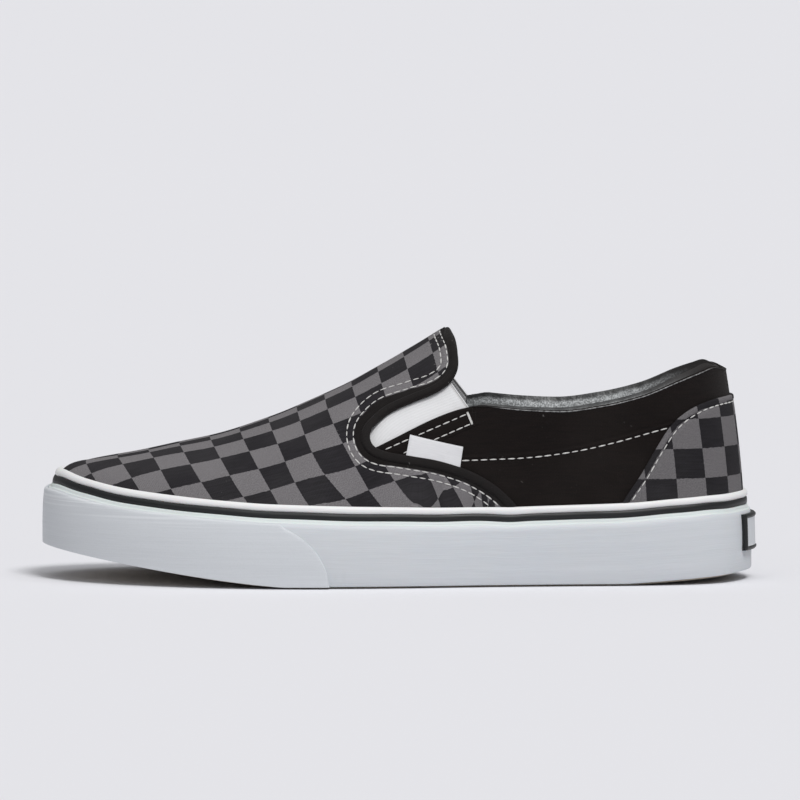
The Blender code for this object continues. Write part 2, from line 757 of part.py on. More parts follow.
def binding(last, edge, finish):
    """The vamp's rolled edge, from the side tape over the throat to the side tape again."""
    middle = BINDING_WIDTH / 2
    ridge = side_line([row[:2] for row in TOP_LINE])
    lengths = np.linspace(edge.length[0], edge.length[-1], 900)
    places = edge.at(lengths, middle)
    under_ridge = np.argmax(places[:, 1] < ridge(places[:, 0] / SOLE_LENGTH))
    angles, rises = last.on_side(places[under_ridge:], -1)
    lengths = lengths[under_ridge:]
    above_tape = np.array([
        last.rise_below(a, last.tape_top(a), -BINDING_FOOT)[0] < r for a, r in zip(angles[::8], rises[::8])
    ])
    stop = len(lengths) if above_tape.all() else 8 * int(np.argmin(above_tape)) - 8
    run = np.unwrap(np.arctan2(*np.diff(places[under_ridge:], axis=0).T))
    effort = np.concatenate([[0], np.cumsum(np.diff(lengths) / 0.006 + np.abs(np.gradient(run)) / 0.40)])
    pick = np.interp(np.linspace(0, effort[stop - 1], BINDING_STATIONS), effort, np.arange(len(effort)))
    pick = pick.astype(int)
    angles, rises, lengths = angles[pick], rises[pick], lengths[pick]
    rises[0] = 1.0
    raised = np.clip((lengths - BINDING_RAISED_FROM) / BINDING_RAISED_OVER, 0, 1)
    raised = raised * raised * (3 - 2 * raised)
    floor = -CANVAS_WALL + raised * (CANVAS_WALL + BINDING_LIFT)
    ceiling = VAMP_STEP + BINDING_CROWN + raised * BINDING_CROWN_RISE
    angles = np.concatenate([2 * math.pi - angles[::-1], angles])
    rises = np.concatenate([rises[::-1], rises])
    floor = np.concatenate([floor[::-1], floor])
    ceiling = np.concatenate([ceiling[::-1], ceiling])
    centres = last.at(angles, rises, (floor + ceiling) / 2)
    outward = last.normal(angles, rises)
    run = np.gradient(centres, axis=0)
    run /= np.linalg.norm(run, axis=1, keepdims=True)
    across = np.cross(outward, run)
    across /= np.linalg.norm(across, axis=1, keepdims=True)
    outward = np.cross(run, across)
    turns = (np.arange(BINDING_SIDES) + 0.5) * 2 * math.pi / BINDING_SIDES
    grow = 1 / math.cos(math.pi / BINDING_SIDES)
    sections = (
        centres[:, None]
        + across[:, None] * (np.cos(turns) * grow * middle)[None, :, None]
        + outward[:, None] * (np.sin(turns)[None] * grow * ((ceiling - floor) / 2)[:, None])[..., None]
    )
    shape = Shape()
    shape.tube(sections, closed=False)
    return solid("vamp_binding", shape, finish)


def tape(last, finish):
    """The side tape: piping, a groove for the line, a thin band and the main band."""
    ledge = TAPE_PIPING + STRIPE_WIDTH + TAPE_LEDGE
    band = GAP + TAPE_THICKNESS - TAPE_STEP
    groove = band - STRIPE_DEPTH - TAPE_PIPING_BULGE
    outer = (
        (0.0001, GAP + 0.0011),
        (0.0009, band),
        (TAPE_PIPING - 0.0003, band - 0.0002),
        (TAPE_PIPING, groove),
        (TAPE_PIPING + STRIPE_WIDTH, groove),
        (TAPE_PIPING + STRIPE_WIDTH + 0.0001, band - 0.0002),
        (ledge, band - 0.0001),
    )
    full = GAP + TAPE_THICKNESS
    sections = []
    for angle in ring_angles():
        inside = [last.at(angle, rise, GAP) for rise in wall_rows(last, angle)[: TAPE_ROWS + 1]]
        outside = [last.band(angle, drop, out) for drop, out in outer]
        flank = [last.at(angle, last.ledge_rise(angle) * share, full) for share in BAND_SHARES]
        foot = last.tape_foot(angle, GAP), last.tape_foot(angle, full)
        sections.append([foot[0], *inside, *outside, *flank, foot[1]])
    shape = Shape()
    shape.tube(sections, closed=True)
    return solid("foxing", shape, finish)


def stripe(last, finish):
    """The dark line in the side tape's groove."""
    band = GAP + TAPE_THICKNESS - TAPE_STEP
    low = band - STRIPE_DEPTH - TAPE_PIPING_BULGE + GAP
    high = band - 0.0003
    top, foot = TAPE_PIPING + 0.0001 + GAP, TAPE_PIPING + STRIPE_WIDTH - GAP
    corners = ((top, low), (top, high), (foot, high), (foot, low))
    sections = [[last.band(angle, *corner) for corner in corners] for angle in ring_angles()]
    shape = Shape()
    shape.tube(sections, closed=True)
    return solid("foxing_stripe", shape, finish)


def bumper(last, finish):
    """The second layer of rubber round the toe, its ends curving down to the sole."""
    low = GAP + TAPE_THICKNESS + GAP
    high = low + BUMPER_THICKNESS
    stations = []
    for angle in ring_angles()[:SIDE_STATIONS]:
        rise = last.ledge_rise(angle)
        if last.at(angle, rise)[0] > (BUMPER_END[0][0] - BUMPER_TURN) * SOLE_LENGTH:
            break
        stations.append((angle, rise, 1.0))
    for x, z in smooth_path(side_points(BUMPER_END), 9)[:-1]:
        angles, rises = last.on_side([(x, max(z, last.base_height(x) + 0.0001))], -1)
        stations.append((float(angles[0]), float(rises[0]), z))
    mirrored = [(2 * math.pi - angle, rise, z) for angle, rise, z in stations[:0:-1]]
    sections = []
    for angle, rise, top in mirrored + stations:
        foot = last.tape_foot(angle, low), last.tape_foot(angle, high)
        places = [last.at(angle, rise * share, low) for share in BAND_SHARES[::-1]]
        places.append(last.at(angle, rise, high - BUMPER_EDGE))
        places.append(last.at(angle, last.rise_below(angle, rise, BUMPER_EDGE)[0], high))
        places += [last.at(angle, rise * share, high) for share in BAND_SHARES[1:]]
        places = [np.array([x, y, min(z, max(top, foot[0][2] + BUMPER_LEAST))]) for x, y, z in places]
        sections.append([foot[0], *places, foot[1]])
    shape = Shape()
    shape.tube(sections, closed=False)
    return solid("toe_bumper", shape, finish)


def heel_label(last, finish):
    """The raised patch on the back of the side tape, with nothing on it."""
    reach = HEEL_LABEL_WIDTH / 2
    angles = np.linspace(math.pi - 1, math.pi, 400)
    side = np.abs(last.edge(angles)[:, 1] - last.edge(math.pi)[1])
    start = float(np.interp(-reach, -side, angles))
    low = GAP + TAPE_THICKNESS + GAP
    high = low + HEEL_LABEL_THICKNESS
    drops = HEEL_LABEL_DROP, HEEL_LABEL_DROP + HEEL_LABEL_HEIGHT
    corners = ((drops[0], low), (drops[0], high), (drops[1], high), (drops[1], low))
    angles = np.linspace(start, 2 * math.pi - start, 11)
    sections = [[last.band(angle, *corner) for corner in corners] for angle in angles]
    shape = Shape()
    shape.tube(sections, closed=False)
    return solid("heel_label", shape, finish)


def counter(last, finish):
    """The canvas overlay round the heel."""
    line = smooth_path(side_points(COUNTER_EDGE), 40)
    line = line[line[:, 0] < 0.9 * SOLE_LENGTH]
    angles, rises = last.on_side(line, -1)
    tall = [r > last.rise_below(a, last.tape_top(a), -COUNTER_FOOT)[0] for a, r in zip(angles, rises)]
    first = int(np.argmax(tall))
    fronts = list(zip(angles, rises))[first::3]
    ease = fronts[-1][0] + COUNTER_EASE
    ring = [a for a in ring_angles() if ease < a < 2 * math.pi - ease]
    level = side_line(COUNTER_EDGE)
    mirrored = [(2 * math.pi - a, r) for a, r in fronts[::-1]]
    stations = fronts + [(a, last.rise_at(a, level)) for a in ring] + mirrored
    sections = []
    for angle, top in stations:
        low = last.rise_below(angle, last.tape_top(angle), -GAP)[0]
        rises = low + (top - low) * np.linspace(0, 1, COUNTER_ROWS)
        inner = [last.at(angle, rise, GAP) for rise in rises]
        outer = [last.at(angle, rise, GAP + COUNTER_THICKNESS) for rise in rises[::-1]]
        sections.append(inner + outer)
    shape = Shape()
    shape.tube(sections, closed=False)
    return solid("heel_counter", shape, finish)


def lining(last, finish):
    """The padded lining inside the collar, its lip a little above the canvas edge."""
    level = side_line(COLLAR_LINE)
    outer = CANVAS_WALL + GAP
    start = LINING_START * SOLE_LENGTH
    stations = []
    first = float(last.on_side([(start, float(level(LINING_START)))], -1)[0][0])
    second = float(last.on_side([(start + LINING_FIRST, float(level(LINING_START)))], -1)[0][0])
    ease = second + LINING_EASE
    ring = [angle for angle in ring_angles() if ease < angle < 2 * math.pi - ease]
    for angle in (first, second, *ring, 2 * math.pi - second, 2 * math.pi - first):
        stations.append((angle, last.rise_at(angle, level)))
    pad = COLLAR_PAD + outer
    profile = (
        (-COLLAR_LIP, outer + 0.0006),
        (0.003, outer),
        (0.011, outer),
        (COLLAR_DEPTH - 0.003, outer),
        (COLLAR_DEPTH, outer + 0.0012),
        (COLLAR_DEPTH - 0.006, pad - 0.0028),
        (0.012, pad - 0.0004),
        (0.006, pad),
        (0.0015, pad - 0.0012),
        (-COLLAR_LIP, pad - 0.0032),
        (-COLLAR_LIP - 0.0006, outer + 0.0022),
    )
    sections = []
    for i, (angle, rise) in enumerate(stations):
        from_end = min(i, len(stations) - 1 - i)
        thin = LINING_THIN[min(from_end, 2)]
        clear = (LINING_CLEAR, LINING_CLEAR, 0.0)[min(from_end, 2)]
        section = []
        for drop, depth in profile:
            place, _ = last.rise_below(angle, rise, drop)
            section.append(last.at(angle, place, -(outer + clear + (depth - outer) * thin)))
        sections.append(section)
    shape = Shape()
    shape.tube(sections, closed=False)
    return solid("collar_lining", shape, finish)


def side_label(last, edge, finish):
    """The small woven tab that comes out from under the binding, with nothing on it."""
    across, up = np.linspace(0, 1, 6)[:, None], np.linspace(0, 1, 3)
    corners = side_points(SIDE_LABEL)
    high = corners[0] + (corners[1] - corners[0]) * across
    below = edge.line(0.002, edge.length[-1], 400, -(GAP + 0.0002))
    ends = np.interp(corners[2:, 0], below[:, 0], np.arange(400))
    low = below[(ends[1] + (ends[0] - ends[1]) * across[:, 0]).astype(int)]
    grids = []
    shape = Shape()
    for out in (GAP, GAP + SIDE_LABEL_THICKNESS):
        rows = [last.at(*last.on_side(high + (low - high) * v, -1), out) for v in up]
        grids.append(shape.add(np.array(rows)))
        shape.sheet(grids[-1])
    for take in (lambda g: g[0], lambda g: g[-1], lambda g: g[:, 0], lambda g: g[:, -1]):
        shape.sheet(np.array([take(grid) for grid in grids]))
    return solid("side_label", shape, finish)


def plate(name, last, inward, low, high, columns, finish=None):
    """A plate inside the form's lower edge. low and high give the heights of its faces from
    the share along the sole and a hollowness, 0 at the plate's rim and 1 along its middle."""
    across = np.linspace(-1, 1, columns)
    sections = []
    for angle in np.arange(SIDE_STATIONS + 1) * math.pi / SIDE_STATIONS:
        near, far = last.edge(angle, inward), last.edge(-angle, inward)
        row = near + (far - near) * (across[:, None] + 1) / 2
        share = row[:, 0] / SOLE_LENGTH
        wide = min(1.0, float(np.linalg.norm(far - near)) / (0.4 * BALL_WIDTH))
        hollow = wide * (1 - np.abs(across) ** 2.2)
        bottom = np.column_stack([row, low(share, hollow)])
        top = np.column_stack([row, high(share, hollow)])
        sections.append(np.concatenate([bottom, top[::-1]]))
    shape = Shape()
    shape.tube(sections, closed=False)
    return solid(name, shape, finish)


def outsole(last, finish):
    """The bottom plate: a plain rim round a field of square lugs set cornerwise."""
    body = plate(
        "outsole", last, 0.0, lambda s, h: bottom_height(s),
        lambda s, h: bottom_height(s) + OUTSOLE_THICKNESS, 2,
    )
    field = plate(
        "field", last, TREAD_RIM, lambda s, h: bottom_height(s) - TREAD_PITCH,
        lambda s, h: bottom_height(s) + TREAD_DEPTH, 2,
    )
    lugs = Shape()
    reach = TREAD_LUG / 2 * np.array([(1, 0), (0, 1), (-1, 0), (0, -1)]) * math.sqrt(2)
    border = last.edge(last.angles, TREAD_RIM + 0.0012)
    step = TREAD_PITCH / math.sqrt(2)
    for i in range(int(SOLE_LENGTH / step) + 1):
        for j in range(-12, 13):
            if (i + j) % 2:
                continue
            corners = np.array([i * step, j * step]) + reach
            if all(inside(border, corner) for corner in corners):
                lugs.tube([[(x, y, z) for x, y in corners] for z in (-TOE_SPRING, 2 * TOE_SPRING)], closed=False)
    field = combined(field, solid("lugs", lugs), "DIFFERENCE")
    body = combined(body, field, "DIFFERENCE", flatten=True)
    body.data.materials.clear()
    body.data.materials.append(finish)
    return body


def inside(border, place):
    x, y = border[:, 0] - place[0], border[:, 1] - place[1]
    turn = np.arctan2(x * np.roll(y, -1) - y * np.roll(x, -1), x * np.roll(x, -1) + y * np.roll(y, -1))
    return abs(turn.sum()) > math.pi


def insole(last, finish):
    """The footbed, dished a little along the middle."""
    base = OUTSOLE_THICKNESS + GAP
    return plate(
        "insole", last, CANVAS_WALL + INSOLE_CLEAR,
        lambda s, h: bottom_height(s) + base,
        lambda s, h: bottom_height(s) + base + INSOLE_THICKNESS - INSOLE_CUP * h,
        5, finish,
    )


def centred(objects):
    """Moves every piece so that the origin is the middle of the whole shoe's base."""
    points = np.array([vertex.co for obj in objects for vertex in obj.data.vertices])
    low, high = points.min(axis=0), points.max(axis=0)
    shift = Matrix.Translation((-(low[0] + high[0]) / 2, -(low[1] + high[1]) / 2, -low[2]))
    for obj in objects:
        obj.data.transform(shift)
        obj.data.update()


def main():
    clear_scene()
    canvas = material("canvas", CANVAS_DARK, 0.9)
    checked = material("checked_canvas", CANVAS_GREY, 0.9)
    white = material("white_rubber", RUBBER_WHITE, 0.5)
    black = material("black_rubber", RUBBER_BLACK, 0.5)
    elastic = material("elastic", ELASTIC_WHITE, 0.8)
    soft = material("lining", LINING_GREY, 0.6)
    woven = material("label", LABEL_WHITE, 0.7)
    foam = material("footbed", FOOTBED_GREY, 0.8)
    last = Last(Outline())
    edge = VampEdge()
    pieces = [
        outsole(last, white),
        tape(last, white),
        stripe(last, black),
        bumper(last, white),
        heel_label(last, white),
        upper(last, edge, canvas),
        binding(last, edge, canvas),
        gore("gore_lateral", last, edge, -1, elastic),
        gore("gore_medial", last, edge, 1, elastic),
        counter(last, checked),
        lining(last, soft),
        side_label(last, edge, woven),
        insole(last, foam),
    ]
    centred(pieces)


if __name__ == "__main__":
    main()
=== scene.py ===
"""Slip-on sneaker, left shoe, dressed for a studio picture.

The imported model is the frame: toe along -X, outer side of the foot -Y, +Z up, metres. Each
piece follows the same last as its solid, with finer stations, seams and cloth.
"""

import math

import bmesh
import bpy
import numpy as np
from bpy.props import FloatProperty, FloatVectorProperty, PointerProperty
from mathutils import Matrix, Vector


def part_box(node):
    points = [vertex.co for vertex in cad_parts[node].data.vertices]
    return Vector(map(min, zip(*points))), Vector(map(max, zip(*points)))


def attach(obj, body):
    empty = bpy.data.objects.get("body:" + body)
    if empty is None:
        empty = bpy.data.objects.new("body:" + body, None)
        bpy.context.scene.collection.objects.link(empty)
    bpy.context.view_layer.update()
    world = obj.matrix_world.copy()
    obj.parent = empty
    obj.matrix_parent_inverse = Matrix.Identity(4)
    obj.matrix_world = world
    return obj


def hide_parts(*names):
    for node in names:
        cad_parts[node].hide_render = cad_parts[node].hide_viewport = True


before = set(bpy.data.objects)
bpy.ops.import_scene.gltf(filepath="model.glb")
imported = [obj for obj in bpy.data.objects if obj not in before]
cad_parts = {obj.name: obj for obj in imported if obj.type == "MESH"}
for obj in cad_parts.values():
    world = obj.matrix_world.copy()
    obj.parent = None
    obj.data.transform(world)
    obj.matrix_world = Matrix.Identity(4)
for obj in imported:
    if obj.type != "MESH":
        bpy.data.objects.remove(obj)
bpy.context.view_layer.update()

bl_info = {
    "name": "Slip-on sneaker",
    "version": (1, 0, 0),
    "blender": (4, 5, 0),
    "location": "3D View > Sidebar > Sneaker",
    "description": "Makes the cloth, rubber, stitches and studio of a slip-on sneaker",
    "category": "Add Mesh",
}

# Driving sizes of the whole shoe
SOLE_LENGTH = 0.2865
BALL_WIDTH = 0.108
TAB_HEIGHT = 0.1020
TOE_SPRING = 0.0140
HEEL_SPRING = 0.0036

# Sole
OUTSOLE_THICKNESS = 0.0065
TREAD_WRAP = 0.0008
INSOLE_THICKNESS = 0.0045
INSOLE_CUP = 0.0025
INSOLE_CLEAR = 0.0008

# Side tape, its line, and the rubber laid over it
TAPE_THICKNESS = 0.0034
TAPE_STEP = 0.0010
TAPE_PIPING = 0.0030
TAPE_PIPING_BULGE = 0.0005
STRIPE_WIDTH = 0.0027
STRIPE_DEPTH = 0.0007
TAPE_LEDGE = 0.0020
BUMPER_THICKNESS = 0.0011
HEEL_LABEL_WIDTH = 0.0290
HEEL_LABEL_HEIGHT = 0.0145
HEEL_LABEL_THICKNESS = 0.0020
HEEL_LABEL_DROP = 0.0092

# Upper
CANVAS_WALL = 0.0018
VAMP_STEP = 0.0009
COUNTER_THICKNESS = 0.0009
BINDING_WIDTH = 0.0036
BINDING_LIFT = 0.0008
GORE_THICKNESS = 0.0012
GORE_OVERLAP = 0.0050
COLLAR_PAD = 0.0060
COLLAR_DEPTH = 0.0250
COLLAR_LIP = 0.0008
LINING_CLEAR = 0.0005
SIDE_LABEL_THICKNESS = 0.0007

# Gap between pieces that touch
GAP = 0.0003

# Fineness of the last's own grid
RING = 1440
RISE = 200

# Splice of the side tape's piping, lateral side: place along in the frame, and its lean
SPLICE_X = 0.0515
SPLICE_LEAN = 0.85

# The sole's outline from above. along: share of SOLE_LENGTH from the toe.
# across: share of BALL_WIDTH from the shoe's axis, lateral side negative.
SOLE_OUTLINE = (
    (1.000, -0.005),
    (0.978, -0.190),
    (0.930, -0.310),
    (0.850, -0.362),
    (0.740, -0.388),
    (0.625, -0.422),
    (0.505, -0.474),
    (0.385, -0.500),
    (0.275, -0.482),
    (0.180, -0.418),
    (0.095, -0.308),
    (0.030, -0.150),
    (0.000, 0.072),
    (0.030, 0.285),
    (0.095, 0.410),
    (0.185, 0.480),
    (0.300, 0.500),
    (0.415, 0.472),
    (0.535, 0.402),
    (0.655, 0.352),
    (0.770, 0.342),
    (0.865, 0.336),
    (0.935, 0.290),
    (0.980, 0.175),
)

# The line that the tops of the sections follow: the instep ridge, then the ankle.
# along: share of SOLE_LENGTH. height: share of TAB_HEIGHT. centre and half_width:
# shares of BALL_WIDTH. turn: angle of the wall's upper end from level, in degrees.
# lower_pull and upper_pull: how far each end of the arc holds its direction, as
# shares of the straight line between the ends.
TOP_LINE = (
    # along height centre half_width turn lower_pull upper_pull
    (0.075, 0.461, 0.060, 0.000, 0.0, 0.70, 0.50),
    (0.135, 0.490, 0.062, 0.000, 0.0, 0.64, 0.47),
    (0.190, 0.525, 0.064, 0.000, 0.0, 0.58, 0.45),
    (0.246, 0.560, 0.064, 0.000, 0.0, 0.54, 0.43),
    (0.303, 0.612, 0.062, 0.000, 0.0, 0.51, 0.41),
    (0.359, 0.675, 0.058, 0.000, 0.0, 0.48, 0.39),
    (0.416, 0.744, 0.052, 0.000, 0.0, 0.46, 0.37),
    (0.472, 0.832, 0.044, 0.000, 0.0, 0.43, 0.34),
    (0.529, 0.925, 0.034, 0.004, 4.0, 0.40, 0.31),
    (0.567, 0.989, 0.026, 0.016, 10.0, 0.38, 0.29),
    (0.627, 1.064, 0.014, 0.072, 34.0, 0.37, 0.28),
    (0.695, 1.098, 0.004, 0.150, 62.0, 0.38, 0.30),
    (0.765, 1.100, 0.000, 0.208, 78.0, 0.39, 0.31),
    (0.845, 1.100, 0.000, 0.222, 82.0, 0.39, 0.29),
    (0.947, 1.100, 0.000, 0.170, 80.0, 0.39, 0.27),
)
ANKLE_ROUNDING = 0.085

# Height of the side tape's top edge, as a share of TAB_HEIGHT.
TAPE_TOP = (
    (0.000, 0.431),
    (0.035, 0.416),
    (0.065, 0.396),
    (0.125, 0.369),
    (0.185, 0.352),
    (0.245, 0.337),
    (0.335, 0.324),
    (0.445, 0.319),
    (0.605, 0.313),
    (0.725, 0.319),
    (0.835, 0.329),
    (0.895, 0.342),
    (0.950, 0.351),
    (1.000, 0.354),
)

# Where the sole leaves the floor, toe and heel, and how fast, as shares of SOLE_LENGTH.
TOE_LIFT_FROM = 0.340
TOE_LIFT_POWER = 1.25
HEEL_LIFT_FROM = 0.820
HEEL_LIFT_POWER = 1.1

# Rear edge of the vamp seen from the side, from the throat down to the sole.
# along: share of SOLE_LENGTH. height: share of TAB_HEIGHT.
VAMP_EDGE = (
    (0.5690, 1.012),
    (0.5755, 0.975),
    (0.5815, 0.935),
    (0.5845, 0.873),
    (0.5810, 0.829),
    (0.5705, 0.789),
    (0.5500, 0.752),
    (0.5210, 0.720),
    (0.4880, 0.679),
    (0.4695, 0.636),
    (0.4600, 0.593),
    (0.4650, 0.554),
    (0.4840, 0.530),
    (0.5160, 0.515),
    (0.5580, 0.494),
    (0.6010, 0.455),
    (0.6360, 0.399),
    (0.6610, 0.335),
    (0.6750, 0.282),
)

# Front edge of the quarter, from the slot's foot to the collar.
QUARTER_FRONT = ((0.4670, 0.551), (0.6010, 0.710))

# Collar line, from the quarter's corner back to the heel.
COLLAR_LINE = (
    (0.6010, 0.712),
    (0.6180, 0.713),
    (0.6440, 0.706),
    (0.6750, 0.698),
    (0.7280, 0.692),
    (0.7850, 0.711),
    (0.8410, 0.747),
    (0.8980, 0.809),
    (0.9260, 0.837),
    (0.9450, 0.853),
    (0.9640, 0.838),
    (1.0200, 0.815),
)

# End of the toe's second rubber layer, from its top edge down to the sole.
BUMPER_END = (
    (0.339, 0.243),
    (0.358, 0.212),
    (0.376, 0.171),
    (0.389, 0.125),
    (0.398, 0.072),
    (0.403, 0.010),
)

# Top edge of the elastic gore, front to back, and how far it runs under its neighbours.
GORE_RISE = 0.284
GORE_TOP = ((0.5755, 0.797), (0.5995, 0.707))

# Front edge of the heel overlay, from the sole up and back.
COUNTER_EDGE = (
    (0.8080, 0.293),
    (0.8225, 0.359),
    (0.8415, 0.437),
    (0.8630, 0.540),
    (0.8870, 0.638),
    (0.9180, 0.700),
    (0.9550, 0.729),
    (1.0200, 0.738),
)

# Side label's upper corners and its lower edge's ends, seen from the side.
SIDE_LABEL = ((0.5165, 0.594), (0.5910, 0.548), (0.5865, 0.442), (0.5105, 0.492))

# Cloth of the vamp: check numbers from places on the unrolled cloth, in decimetres.
# along is counted down the instep ridge from the toe, across from the ridge outwards.
CHECK_ALONG = (0.391, 7.664, 0.259)
CHECK_LEAN = (-3.812, 4.831)
CHECK_MIDDLE = (-0.871, -1.468, 1.111)
CHECK_ACROSS = (8.795, 0.479, 0.689)
# Cloth of the heel: check numbers from the way round the heel and the height, in metres.
HEEL_CHECK_ROUND = (4.409, 83.3)
HEEL_CHECK_HEIGHT = (5.606, -84.3)

# Stitch rows, as distances inside the edge that each one follows
VAMP_ROWS = (0.0041, 0.0067)
ROW_INSET = 0.0026
FRONT_ROWS = (0.0026, 0.0068)
COUNTER_ROW = 0.0028

# Stitch line across the quarter. along: share of SOLE_LENGTH. height: share of TAB_HEIGHT.
QUARTER_SEAM = (
    (0.5880, 0.506),
    (0.6320, 0.510),
    (0.6740, 0.515),
    (0.7150, 0.526),
    (0.7630, 0.547),
    (0.8110, 0.578),
    (0.8590, 0.614),
    (0.8850, 0.633),
)

# Soft creases, seen from the side: start and end as shares of SOLE_LENGTH and TAB_HEIGHT,
# then the width and the depth in metres. A depth below zero stands out as a ridge.
CREASES = (
    # along height along height width depth
    (0.318, 0.400, 0.352, 0.585, 0.0085, 0.00045),
    (0.372, 0.430, 0.415, 0.680, 0.0080, -0.00035),
    (0.430, 0.400, 0.452, 0.560, 0.0070, 0.00050),
    (0.455, 0.680, 0.500, 0.800, 0.0065, 0.00040),
    (0.640, 0.400, 0.735, 0.455, 0.0090, 0.00050),
    (0.630, 0.560, 0.700, 0.640, 0.0110, -0.00045),
    (0.700, 0.545, 0.800, 0.600, 0.0090, 0.00060),
    (0.760, 0.400, 0.800, 0.520, 0.0080, -0.00040),
    (0.800, 0.640, 0.860, 0.720, 0.0080, 0.00045),
)


def closed_spline(points, count):
    """count points on the smooth closed curve through the given ones: a periodic cubic
    spline on the lengths between them."""
    points = np.array(points, float)
    n = len(points)
    step = np.linalg.norm(np.roll(points, -1, 0) - points, axis=1)
    before = np.roll(step, 1)
    system = np.zeros((n, n))
    for i in range(n):
        system[i, i] += 2 * (before[i] + step[i])
        system[i, i - 1] += before[i]
        system[i, (i + 1) % n] += step[i]
    ahead = (np.roll(points, -1, 0) - points) / step[:, None]
    behind = np.roll(ahead, 1, 0)
    bend = np.linalg.solve(system, 6 * (ahead - behind))
    knots = np.concatenate([[0], np.cumsum(step)])
    where = np.linspace(0, knots[-1], count, endpoint=False)
    i = np.clip(np.searchsorted(knots, where, side="right") - 1, 0, n - 1)
    h, j = step[i], (i + 1) % n
    a = ((knots[i + 1] - where) / h)[:, None]
    b = 1 - a
    h = h[:, None]
    return a * points[i] + b * points[j] + ((a**3 - a) * bend[i] + (b**3 - b) * bend[j]) * h**2 / 6


def open_spline(rows, where):
    """Smooth curve through a table's rows, read at the places given: the first column is the
    variable, and each other column is a monotone cubic, so that a flat stretch stays flat."""
    rows = np.array(rows, float)
    x, y = rows[:, 0], rows[:, 1:]
    step = np.diff(x)
    slope = np.diff(y, axis=0) / step[:, None]
    tangent = np.zeros_like(y)
    tangent[0], tangent[-1] = slope[0], slope[-1]
    same_way = slope[1:] * slope[:-1] > 0
    w1 = (2 * step[1:] + step[:-1])[:, None]
    w2 = (step[1:] + 2 * step[:-1])[:, None]
    safe = np.where(same_way, slope[1:], 1.0), np.where(same_way, slope[:-1], 1.0)
    tangent[1:-1] = np.where(same_way, (w1 + w2) / (w1 / safe[1] + w2 / safe[0]), 0.0)
    where = np.clip(np.asarray(where, float), x[0], x[-1])
    i = np.clip(np.searchsorted(x, where, side="right") - 1, 0, len(x) - 2)
    h = step[i]
    t = ((where - x[i]) / h)[..., None]
    h = h[..., None]
    return (
        (2 * t**3 - 3 * t**2 + 1) * y[i]
        + (t**3 - 2 * t**2 + t) * h * tangent[i]
        + (3 * t**2 - 2 * t**3) * y[i + 1]
        + (t**3 - t**2) * h * tangent[i + 1]
    )


def smooth_path(points, count):
    """count points, evenly spaced, on a smooth open curve through the given ones."""
    points = np.array(points, float)
    step = np.concatenate([[0], np.cumsum(np.linalg.norm(np.diff(points, axis=0), axis=1))])
    padded = np.concatenate([2 * points[:1] - points[1:2], points, 2 * points[-1:] - points[-2:-1]])
    fine = np.linspace(0, step[-1], 40 * len(points))
    i = np.clip(np.searchsorted(step, fine, side="right") - 1, 0, len(points) - 2)
    t = ((fine - step[i]) / (step[i + 1] - step[i]))[:, None]
    p0, p1, p2, p3 = (padded[i + k] for k in range(4))
    curve = 0.5 * (
        2 * p1 + (p2 - p0) * t + (2 * p0 - 5 * p1 + 4 * p2 - p3) * t**2 + (3 * p1 - p0 - 3 * p2 + p3) * t**3
    )
    length = np.concatenate([[0], np.cumsum(np.linalg.norm(np.diff(curve, axis=0), axis=1))])
    even = np.linspace(0, length[-1], count)
    return np.stack([np.interp(even, length, curve[:, k]) for k in range(curve.shape[1])], axis=1)


def bottom_height(along):
    """Height of the sole's underside above the floor, at a share of SOLE_LENGTH."""
    along = np.asarray(along, float)
    toe = np.clip((TOE_LIFT_FROM - along) / TOE_LIFT_FROM, 0, 1) ** TOE_LIFT_POWER
    heel = np.clip((along - HEEL_LIFT_FROM) / (1 - HEEL_LIFT_FROM), 0, 1) ** HEEL_LIFT_POWER
    return TOE_SPRING * toe + HEEL_SPRING * heel


class Outline:
    """The sole's outline, read by an angle: 0 at the toe's tip, pi at the heel's back along
    the lateral side, and on to two pi along the medial side."""

    def __init__(self):
        curve = closed_spline(SOLE_OUTLINE, 4000) * (SOLE_LENGTH, BALL_WIDTH)
        self.start = curve[:, 0].min()
        self.length = curve[:, 0].max() - self.start
        self.middle = (curve[:, 1].min() + curve[:, 1].max()) / 2
        tip, back = curve[:, 0].argmin(), curve[:, 0].argmax()
        curve = np.roll(curve, -back, axis=0)
        tip = (tip - back) % len(curve)
        lateral = curve[: tip + 1][::-1]
        medial = np.concatenate([curve[tip:], curve[:1]])[::-1]
        angle = [self._angle(side[:, 0]) for side in (lateral, medial)]
        angle = np.concatenate([angle[0], 2 * math.pi - angle[1][1:]])
        points = np.concatenate([lateral, medial[1:]])
        order = np.argsort(angle, kind="stable")
        self.angle, self.points = angle[order], points[order]

    def _angle(self, x):
        share = np.clip((x - self.start) / self.length, 0, 1)
        return np.arccos(1 - 2 * share)

    def read(self, angle):
        angle = np.mod(angle, 2 * math.pi)
        return np.stack([np.interp(angle, self.angle, self.points[:, k]) for k in range(2)], -1)

    def inset(self, angle, distance):
        """Points inside the outline by a distance, square to it."""
        small = 0.01
        run = self.read(angle + small) - self.read(angle - small)
        run /= np.linalg.norm(run, axis=-1, keepdims=True)
        inward = np.stack([-run[..., 1], run[..., 0]], -1)
        return self.read(angle) + inward * distance


def ring_smoothed(values, passes=2):
    for _ in range(passes):
        values = (np.roll(values, 1, 0) + 2 * values + np.roll(values, -1, 0)) / 4
    return values


